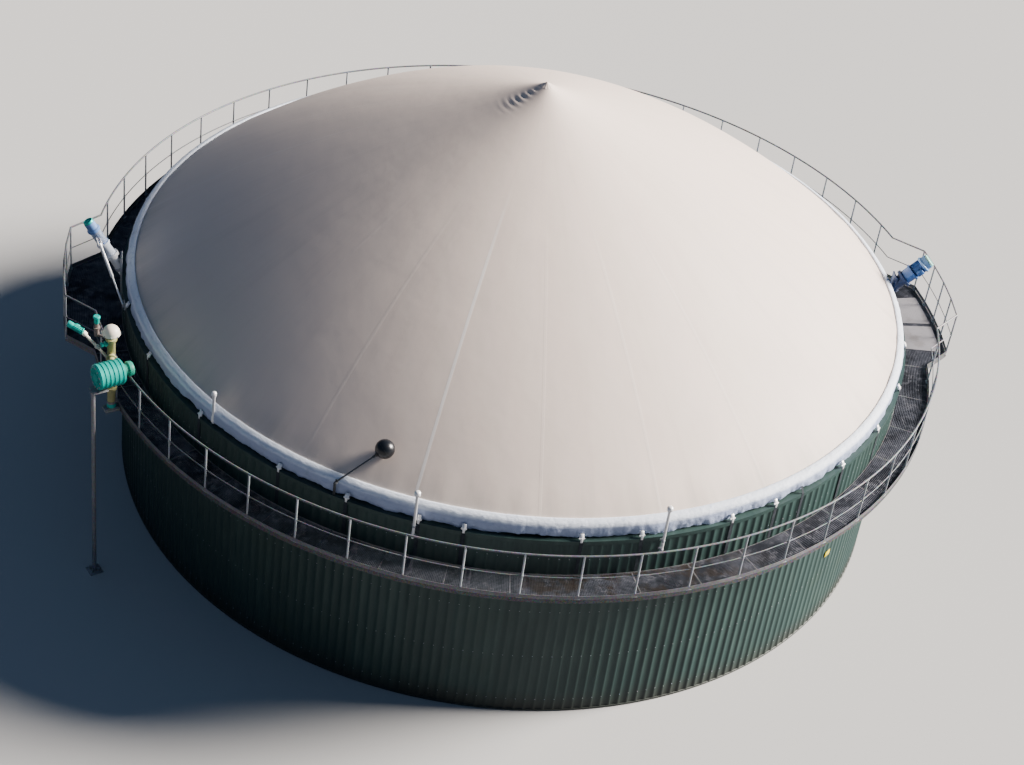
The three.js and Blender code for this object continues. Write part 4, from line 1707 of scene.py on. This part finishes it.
@dataclass
class LevelBall:
    """The ball that lies on the membrane and the arm that holds it."""

    radius: float = 0.2
    flats: int = 36
    rings: int = 20
    arm_azimuth: float = -121.7
    arm_r: float = 8.9
    arm_z: float = 5.075
    arm: Pair = (0.018, 0.014)  # radius at its foot and at the ball
    seat: Triple = (0.12, 0.07, 0.02)
    leg: Triple = (0.012, 0.06, 0.28)
    lug: Triple = (0.02, 0.05, 0.06)

    def build(self) -> None:
        """Build the ball and its arm."""
        low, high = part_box("level_ball")
        centre = (low + high) / 2
        foot = around(self.arm_r, self.arm_azimuth, self.arm_z)
        ball = Workpiece()
        place = along(centre, foot)
        turns = spread(0, math.pi, self.rings)
        points = [(self.radius * math.sin(t), self.radius * -math.cos(t)) for t in turns]
        points[0], points[-1] = (0.0, -self.radius), (0.0, self.radius)
        ball.lathe(points, place, self.flats)
        inner, outer = self.radius - 0.004, self.radius + 0.003
        seam = [(inner, -0.006), (outer, -0.004), (outer, 0.004), (inner, 0.006)]
        lip = Workpiece()
        lip.sweep(seam, 0.0, 359.9, 48)  # a hair's gap keeps its two ends apart
        ball.take(lip, [place])
        neck = [
            (0.0, self.radius - 0.01), (0.045, self.radius - 0.012), (0.04, self.radius + 0.02),
            (0.024, self.radius + 0.03), (0.0, self.radius + 0.03),
        ]
        ball.lathe(neck, place, 16)
        ball.finish("level_ball_shell", [BLACK], Slot.BLACK, ["level_ball"])
        arm = Workpiece()
        reach = (centre - foot).normalized()
        for size, out, up in ((self.seat, 0.025, -0.01), (self.leg, 0.078, -0.156), (self.lug, 0.0, 0.015)):
            arm.block(size, outward(self.arm_r + out, self.arm_azimuth, self.arm_z + up), bevel=0.003)
        arm.rod(foot + reach * 0.01, centre - reach * (self.radius + 0.02), *self.arm, 12)
        arm.rod(centre - reach * (self.radius + 0.09), centre - reach * (self.radius + 0.02), 0.026, sides=12)
        arm.finish("level_ball_lever", [GREY], Slot.BLACK, ["level_ball_arm"])


@dataclass
class VentRods:
    """Two upright vent rods clamped to the wall, and a short one on the hem."""

    rods: tuple[tuple[str, float], ...] = (("front", -78.75), ("left", -110.625))
    stub: Pair = (8.9, -142.5)  # radius and azimuth of the short one
    pipe: float = 0.03
    hood: float = 0.065
    stub_hood: float = 0.055
    gap: float = 0.06  # from the wall to the pipe's axis
    clamps: Pair = (4.47, 4.7)
    clamp_plate: Triple = (0.012, 0.11, 0.05)
    clamp_arm: Triple = (0.045, 0.05, 0.03)
    clamp_ring: tuple[float, ...] = (0.029, 0.036, -0.02, 0.02)
    clamp_bolt: float = 0.01
    clamp_bolt_aside: float = 0.042

    def head(self, top: float, radius: float) -> list[Pair]:
        """Return the profile of a pipe with a hooded head.

        Args:
            top: height of its top above its foot.
            radius: radius of the hood.

        Returns:
            The profile, from the foot at 0.
        """
        return [
            (0.0, 0.0), (self.pipe, 0.0), (self.pipe, top - 0.16), (0.034, top - 0.155), (0.034, top - 0.13),
            (radius * 0.62, top - 0.12), (radius, top - 0.095), (radius, top - 0.04),
            (radius * 0.8, top - 0.012), (radius * 0.4, top - 0.001), (0.0, top),
        ]

    def build(self) -> None:
        """Build the three rods."""
        for side, azimuth in self.rods:
            low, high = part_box(f"vent_rod_{side}")
            wall = WALL_R * (1 if side == "front" else math.cos(math.radians(FACET / 2)))
            radius = wall + self.gap
            rod = Workpiece()
            foot = Matrix.Translation(around(radius, azimuth, low.z))
            rod.lathe(self.head(high.z - low.z, self.hood), foot, 20)
            for height in self.clamps:
                place = outward(radius, azimuth, height)
                rod.block(self.clamp_plate, place @ moved(-0.052, 0, 0), 1, 0.002)
                rod.block(self.clamp_arm, place @ moved(-0.03, 0, 0), 1, 0.002)
                rod.lathe(slab(*self.clamp_ring), place, 16, 1)
                for aside in (-self.clamp_bolt_aside, self.clamp_bolt_aside):
                    hexagon(place @ moved(-0.046, aside, 0), self.clamp_bolt, 1, rod)
            rod.finish(f"vent_pipe_{side}", [WHITE, ZINC], Slot.WHITE, [f"vent_rod_{side}"])
        low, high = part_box("vent_stub_left")
        stub = Workpiece()
        foot = Matrix.Translation(around(*self.stub, low.z))
        stub.lathe(self.head(high.z - low.z, self.stub_hood), foot, 20)
        boot = [
            (0.0, -0.25), (self.pipe, -0.25), (self.pipe, -0.2), (0.046, -0.2), (0.043, -0.1), (0.034, -0.05),
            (0.029, 0.0), (0.0, 0.0),
        ]
        stub.lathe(boot, foot, 20)
        stub.finish("vent_pipe_stub", [WHITE], Slot.WHITE, ["vent_stub_left"])


@dataclass
class WallPlate:
    """The small bare plate on the wall."""

    azimuth: float = -45.0
    height: float = 2.1
    size: Triple = (0.004, 0.2, 0.15)
    batten: Triple = (0.006, 0.16, 0.02)
    batten_rows: Pair = (0.05, -0.05)
    rivet: float = 0.005
    rivets: Pair = (0.085, 0.06)  # how far they sit aside of and above or below its middle

    def build(self) -> None:
        """Build the plate with its four rivets."""
        plate = Workpiece()
        place = outward(WALL_R, self.azimuth, self.height)
        plate.block(self.size, place @ moved(0.009, 0, 0), bevel=0.0015)
        for height in self.batten_rows:
            plate.block(self.batten, place @ moved(0.004, 0, height), 1)
        aside, up = self.rivets
        for y, z in ((-aside, -up), (-aside, up), (aside, -up), (aside, up)):
            hexagon(place @ moved(0.011, y, z), self.rivet, 1, plate)
        plate.finish("bare_wall_plate", [YELLOW, ZINC], Slot.YELLOW, ["wall_plate"])


@dataclass
class FeedGear:
    """The gear that feeds the tank: riser, cap, drum, post, branch with motor, and valves."""

    riser: Triple = (9.9, -157.5, 0.085)  # radius, azimuth and the pipe's own radius
    riser_z: Pair = (3.9, 5.8)
    riser_joints: Pair = (0.5, 1.76)  # heights of its flanges above its foot
    duct_to: float = 10.15  # how far the duct from the riser reaches into the drum
    bracket: Triple = (0.33, 0.2, 0.05)
    bracket_web: Triple = (0.3, 0.012, 0.1)
    drum_azimuth: float = -154.0
    drum_z: float = 5.29
    drum_r: float = 0.28
    drum_from: float = 9.93
    drum_to: float = 10.51
    drum_hoops: int = 6
    drum_spokes: int = 12
    post_r: float = 10.56
    post_pipe: float = 0.045
    post_foot: Triple = (0.3, 0.3, 0.016)
    post_web: Triple = (0.08, 0.008, 0.1)
    saddle_r: float = 10.44
    saddle: Triple = (0.33, 0.3, 0.012)
    wedge: Triple = (0.18, 0.07, 0.012)
    wedge_tilt: float = 0.42  # in radians
    branch_z: float = 5.1  # where the branch leaves the riser
    branch_end: Triple = (10.48, -158.0, 5.95)  # radius, azimuth and height
    motor_end: Triple = (10.74, -158.9, 6.12)
    motor_r: float = 0.068
    motor_fins: int = 14
    valve_foot: Triple = (10.1, -159.3, 5.59)
    outlet_r: float = 10.13
    outlet_z: float = 5.58

    def build(self) -> None:
        """Build every piece of the gear."""
        self.pipe()
        self.cap()
        self.drum()
        self.post()
        self.branch()
        self.valves()

    def riser_at(self, height: float) -> Vector:
        """Return the point on the riser's axis at a height."""
        return around(self.riser[0], self.riser[1], height)

    def drum_at(self, radius: float) -> Vector:
        """Return the point on the drum's axis at a radius from the tank's."""
        return around(radius, self.drum_azimuth, self.drum_z)

    def pipe(self) -> None:
        """Build the riser with its flanges, foot bracket and the duct to the drum."""
        pipe = Workpiece()
        r = self.riser[2]
        low, high = self.riser_z
        rise = high - low
        profile = [
            (0.0, 0.0), (r, 0.0), (r, 0.5), (r + 0.035, 0.5), (r + 0.035, 0.545), (r, 0.545), (r, 1.72),
            (r + 0.02, 1.74), (r + 0.035, 1.76), (r + 0.035, 1.8), (r, 1.8), (r, rise), (0.0, rise),
        ]
        pipe.lathe(profile, Matrix.Translation(self.riser_at(low)), 32)
        boot = [(0.0, -0.03), (r * 0.7, -0.03), (r + 0.012, 0.0), (r + 0.012, 0.09), (r, 0.1), (0.0, 0.1)]
        pipe.lathe(boot, Matrix.Translation(self.riser_at(low + 0.03)), 32, 2)
        for level in self.riser_joints:
            flange = Matrix.Translation(self.riser_at(low + level))
            for turn in fan(8):
                hexagon(flange @ turn @ moved(r + 0.018, 0, 0.0) @ X_DOWN, 0.012, 1, pipe)
        start, end = self.riser_at(self.drum_z), self.drum_at(self.duct_to)
        length = (end - start).length
        duct = [
            (0.0, 0.0), (0.075, 0.0), (0.075, 0.14), (0.11, 0.15), (0.11, 0.19), (0.075, 0.2),
            (0.075, length), (0.0, length),
        ]
        pipe.lathe(duct, along(start, end), 28)
        place = outward(0.0, self.riser[1], low - 0.03)
        pipe.block(self.bracket, place @ moved(9.905, 0, 0), 1, 0.004)
        for aside in (-0.08, 0.08):
            pipe.block(self.bracket_web, place @ moved(9.9, aside, 0.0), 1, 0.003)
        clamp = slab(r - 0.005, r + 0.014, -0.025, 0.025)
        pipe.lathe(clamp, Matrix.Translation(self.riser_at(low + 0.15)), 28, 1)
        pipe.finish("feed_riser", [PIPE_PAINT, OLD_ZINC, TEAL], Slot.PIPE, ["riser_pipe"])

    def cap(self) -> None:
        """Build the domed cap."""
        cap = Workpiece()
        profile = [
            (0.0, 0.0), (0.18, 0.0), (0.186, 0.008), (0.186, 0.03), (0.178, 0.045), (0.178, 0.07),
            (0.168, 0.105), (0.146, 0.145), (0.112, 0.178), (0.07, 0.2), (0.03, 0.21), (0.0, 0.212),
        ]
        place = Matrix.Translation(self.riser_at(self.riser_z[1]))
        cap.lathe(profile, place, 40)
        for turn in fan(8):
            cap.block((0.02, 0.03, 0.035), place @ turn @ moved(0.184, 0, 0.02), 1, 0.003)
        cap.finish("riser_dome", [CREAM, ZINC], Slot.CREAM, ["riser_cap"])

    def drum(self) -> None:
        """Build the ribbed drum and its hub."""
        drum = Workpiece()
        r, length = self.drum_r, self.drum_to - self.drum_from
        place = along(self.drum_at(self.drum_from), self.drum_at(self.drum_to))
        profile = [(0.0, 0.0), (r - 0.03, 0.0), (r - 0.012, 0.012), (r - 0.012, 0.04)]
        for z in spread(0.05, length - 0.05, self.drum_hoops - 1):
            profile += [(r - 0.012, z - 0.012), (r, z - 0.008), (r, z + 0.008), (r - 0.012, z + 0.012)]
        profile += [
            (r - 0.012, length - 0.02), (r - 0.03, length - 0.004), (r - 0.07, length - 0.004),
            (r - 0.075, length - 0.018), (0.09, length - 0.018), (0.085, length), (0.0, length),
        ]
        drum.lathe(profile, place, 48)
        for turn in fan(self.drum_spokes):
            spoke = place @ turn @ moved((r + 0.02) / 2, 0, length - 0.013)
            drum.block((r - 0.17, 0.012, 0.02), spoke, 0, 0.002)
            drum.block((0.03, 0.03, 0.03), place @ turn @ moved(r - 0.05, 0, length - 0.002), 1, 0.004)
        hub = [
            (0.0, -0.25), (0.11, -0.25), (0.14, -0.238), (0.155, -0.21), (0.155, -0.17), (0.165, -0.165),
            (0.165, -0.14), (0.13, -0.13), (0.13, -0.05), (0.165, -0.04), (0.165, 0.0), (0.0, 0.0),
        ]
        drum.lathe(hub, place, 36, 2)
        drum.finish("feed_drum_body", [TEAL, ZINC, MINT_TEAL], Slot.TEAL, ["feed_drum"])

    def post(self) -> None:
        """Build the post under the drum."""
        post = Workpiece()
        top = self.drum_z - self.drum_r - 0.001
        place = outward(self.post_r, self.drum_azimuth, 0.0)
        at = place.translation
        post.block(self.post_foot, place @ moved(0, 0, 0.008), bevel=0.003)
        post.rod(at + Vector((0, 0, 0.012)), at + Vector((0, 0, top - 0.03)), self.post_pipe, sides=20)
        for turn in fan(4, 0.5):
            post.block(self.post_web, place @ turn @ moved(0.08, 0, 0.066), bevel=0.002)
            hexagon(place @ turn @ moved(0.165, 0, 0.016) @ X_UP, 0.018, 0, post)
        collar = [(0.0, 0.0), (0.07, 0.0), (0.07, 0.02), (0.046, 0.03), (0.0, 0.03)]
        post.lathe(collar, Matrix.Translation(at + Vector((0, 0, top - 0.075))), 20)
        saddle = outward(self.saddle_r, self.drum_azimuth, 0.0)
        post.block(self.saddle, saddle @ moved(0, 0, top - 0.034), bevel=0.003)
        for side in (-1, 1):
            tilted = moved(-0.05, side * 0.115, top - 0.013) @ Matrix.Rotation(side * self.wedge_tilt, 4, "X")
            post.block(self.wedge, saddle @ tilted, bevel=0.003)
        post.finish("feed_drum_post", [OLD_ZINC], Slot.GALVANISED, ["feed_post"])

    def branch(self) -> None:
        """Build the branch pipe and the motor at its end."""
        start, end = self.riser_at(self.branch_z), around(*self.branch_end)
        axis = (end - start).normalized()
        length = (end - start).length
        pipe = Workpiece()
        tube = [
            (0.0, 0.06), (0.03, 0.06), (0.03, 0.5), (0.05, 0.505), (0.05, 0.545), (0.03, 0.55),
            (0.03, length - 0.1), (0.055, length - 0.095), (0.055, length - 0.03), (0.04, length),
            (0.0, length),
        ]
        pipe.lathe(tube, along(start, end), 20)
        pipe.finish("branch_tube", [CREAM], Slot.PIPE, ["branch_pipe"])
        motor = Workpiece()
        tip = around(*self.motor_end)
        place = along(end + axis * 0.002, tip)
        length = (tip - end).length
        r = self.motor_r
        body = [
            (0.0, 0.0), (r + 0.008, 0.0), (r + 0.008, 0.02), (r * 0.85, 0.03), (r * 0.85, length * 0.7),
            (r, length * 0.7), (r, length - 0.02), (r * 0.8, length), (0.0, length),
        ]
        motor.lathe(body, place, 24)
        for turn in fan(self.motor_fins):
            motor.block((0.014, 0.005, length * 0.62), place @ turn @ moved(r * 0.92, 0, length * 0.36))
        motor.block((0.05, 0.07, 0.09), place @ moved(-r - 0.01, 0, length * 0.4), 0, 0.006)
        motor.finish("branch_drive", [TEAL], Slot.TEAL, ["branch_motor"])

    def valves(self) -> None:
        """Build the upright valve beside the riser and the one on its outer side."""
        top = Workpiece()
        foot = around(*self.valve_foot)
        column = [
            (0.0, 0.0), (0.04, 0.0), (0.055, 0.012), (0.055, 0.1), (0.05, 0.11), (0.05, 0.2), (0.072, 0.205),
            (0.072, 0.235), (0.05, 0.24), (0.046, 0.34), (0.0, 0.34),
        ]
        top.lathe(column, Matrix.Translation(foot), 28, 1)
        head = [
            (0.0, 0.33), (0.05, 0.33), (0.056, 0.35), (0.056, 0.44), (0.075, 0.46), (0.075, 0.49),
            (0.062, 0.51), (0.0, 0.51),
        ]
        top.lathe(head, Matrix.Translation(foot), 28)
        stub = foot + Vector((0, 0, 0.05))
        top.rod(self.riser_at(stub.z).lerp(stub, 0.22), stub, 0.025, sides=14, material=1)
        top.finish("valve_upright", [TEAL, COLUMN], Slot.TEAL, ["valve_top"])
        side = Workpiece()
        start, end = self.riser_at(self.outlet_z), around(self.outlet_r, self.riser[1], self.outlet_z)
        length = (end - start).length
        outlet = [
            (0.0, 0.08), (0.045, 0.08), (0.045, 0.11), (0.06, 0.115), (0.06, 0.145), (0.04, 0.15),
            (0.04, 0.185), (0.056, 0.19), (0.06, length - 0.012), (0.05, length), (0.0, length),
        ]
        side.lathe(outlet, along(start, end), 28)
        side.finish("valve_outlet", [TEAL], Slot.TEAL, ["valve_side"])


@dataclass
class Studio:
    """Plain pale floor, soft light and the camera at the photograph's viewing angle."""

    eye: Triple = (-8.2153, -38.6873, 31.325)
    aim: Triple = (-0.25, -2.0, 3.35)
    roll: float = 8.3
    lens: float = 72.4
    sensor: float = 36.0
    clip: Pair = (0.5, 1000.0)  # nearest and furthest that the camera sees
    key_from: Pair = (7.0, 26.0)  # azimuth and elevation of the key light
    key_energy: float = 18.0
    key_angle: float = 0.4  # how wide it looks from the object, in radians
    key_colour: Triple = (1.0, 0.925, 0.85)
    key_distance: float = 60.0
    sky: Triple = (0.4, 0.63, 1.08)
    sky_strength: float = 0.148
    floor_size: float = 300.0
    floor_gap: float = 0.001  # how far it lies below the object
    floor_colour: Triple = rgb(190, 190, 189)
    floor_bounce: Triple = rgb(126, 127, 130)  # what the floor gives back, so that shaded sides stay dark
    backdrop: Triple = (1.25, 1.24, 1.22)  # the pale studio wall behind the floor

    def build(self) -> None:
        """Build the floor, the lights and the camera."""
        floor = Workpiece()
        bmesh.ops.create_grid(floor.bm, x_segments=4, y_segments=4, size=self.floor_size)
        mesh = bpy.data.meshes.new("studio_floor")
        floor.bm.to_mesh(mesh)
        floor.bm.free()
        s = Shader("studio floor")
        seen = s.node("ShaderNodeLightPath", output="Is Camera Ray")
        colour = s.mix(seen, self.floor_bounce, self.floor_colour)
        mesh.materials.append(s.done(Base_Color=colour, Roughness=0.9))
        ground = bpy.data.objects.new("studio_floor", mesh)
        ground.location.z = -self.floor_gap
        bpy.context.scene.collection.objects.link(ground)
        self.light()
        self.surroundings()
        self.camera()

    def surroundings(self) -> None:
        """Give the world a dim blue sky, which the camera sees as a pale wall."""
        world = bpy.context.scene.world or bpy.data.worlds.new("studio")
        bpy.context.scene.world = world
        world.use_nodes = True
        tree = world.node_tree
        sky = tree.nodes["Background"]
        sky.inputs["Color"].default_value = (*self.sky, 1.0)
        sky.inputs["Strength"].default_value = self.sky_strength
        wall = tree.nodes.new("ShaderNodeBackground")
        wall.inputs["Color"].default_value = (*self.backdrop, 1.0)
        ray = tree.nodes.new("ShaderNodeLightPath")
        either = tree.nodes.new("ShaderNodeMixShader")
        tree.links.new(ray.outputs["Is Camera Ray"], either.inputs[0])
        tree.links.new(sky.outputs[0], either.inputs[1])
        tree.links.new(wall.outputs[0], either.inputs[2])
        tree.links.new(either.outputs[0], tree.nodes["World Output"].inputs["Surface"])

    def light(self) -> None:
        """Add the key light, far away and soft."""
        lamp = bpy.data.lights.new("key_light", "SUN")
        lamp.energy, lamp.angle, lamp.color = self.key_energy, self.key_angle, self.key_colour
        lamp_object = bpy.data.objects.new("key_light", lamp)
        azimuth, elevation = self.key_from[0], math.radians(self.key_from[1])
        place = around(math.cos(elevation), azimuth, math.sin(elevation)) * self.key_distance
        lamp_object.location = place
        lamp_object.rotation_euler = place.to_track_quat("Z", "Y").to_euler()
        bpy.context.scene.collection.objects.link(lamp_object)

    def camera(self) -> None:
        """Add the camera."""
        data = bpy.data.cameras.new("camera")
        data.lens, data.sensor_width = self.lens, self.sensor
        data.clip_start, data.clip_end = self.clip
        view = bpy.data.objects.new("camera", data)
        eye, aim = Vector(self.eye), Vector(self.aim)
        turn = (aim - eye).to_track_quat("-Z", "Y").to_matrix().to_4x4()
        view.matrix_world = Matrix.Translation(eye) @ turn @ turned(self.roll)
        bpy.context.scene.collection.objects.link(view)
        bpy.context.scene.camera = view


def main() -> None:
    """Build the studio and every sub-assembly of the digester."""
    logging.basicConfig(level=logging.INFO, format="%(message)s")
    left = Agitator(
        side="left", azimuth=LEFT, end_r=9.77, end_z=6.12, radius=0.12,
        slot=Slot.PALE_BLUE, finishes=(WHITE, MID_BLUE, MID_BLUE, ZINC, TEAL, PALE_BLUE, PALE_BLUE),
        mount_slot=Slot.GALVANISED, mount_finish=ZINC, box_finish=4,
    )
    right = Agitator(
        side="right", azimuth=RIGHT, end_r=9.78, end_z=5.68, radius=0.17,
        # The end cover's mint is a painted highlight.
        slot=Slot.BLUE, finishes=(DARK_BLUE, BLUE, SKY_BLUE, DARK_BLUE, MINT_HIGHLIGHT, BLUE, BLUE),
        mount_slot=Slot.BLUE, mount_finish=DARK_BLUE, box_finish=1,
    )
    assemblies = (
        Studio(), FloorSlab(), ProfiledWall(), MembraneRoof(), RoofHem(), Walkway(),
        ServicePlatform(side="left", middle=LEFT),
        ServicePlatform(side="right", middle=RIGHT, plates=((-7.2, -1.45), (-0.75, 5.4))),
        Guardrail(), left, right, Stay(left), LevelBall(), VentRods(), WallPlate(), FeedGear(),
    )
    for assembly in assemblies:
        assembly.build()


if __name__ == "__main__":
    main()
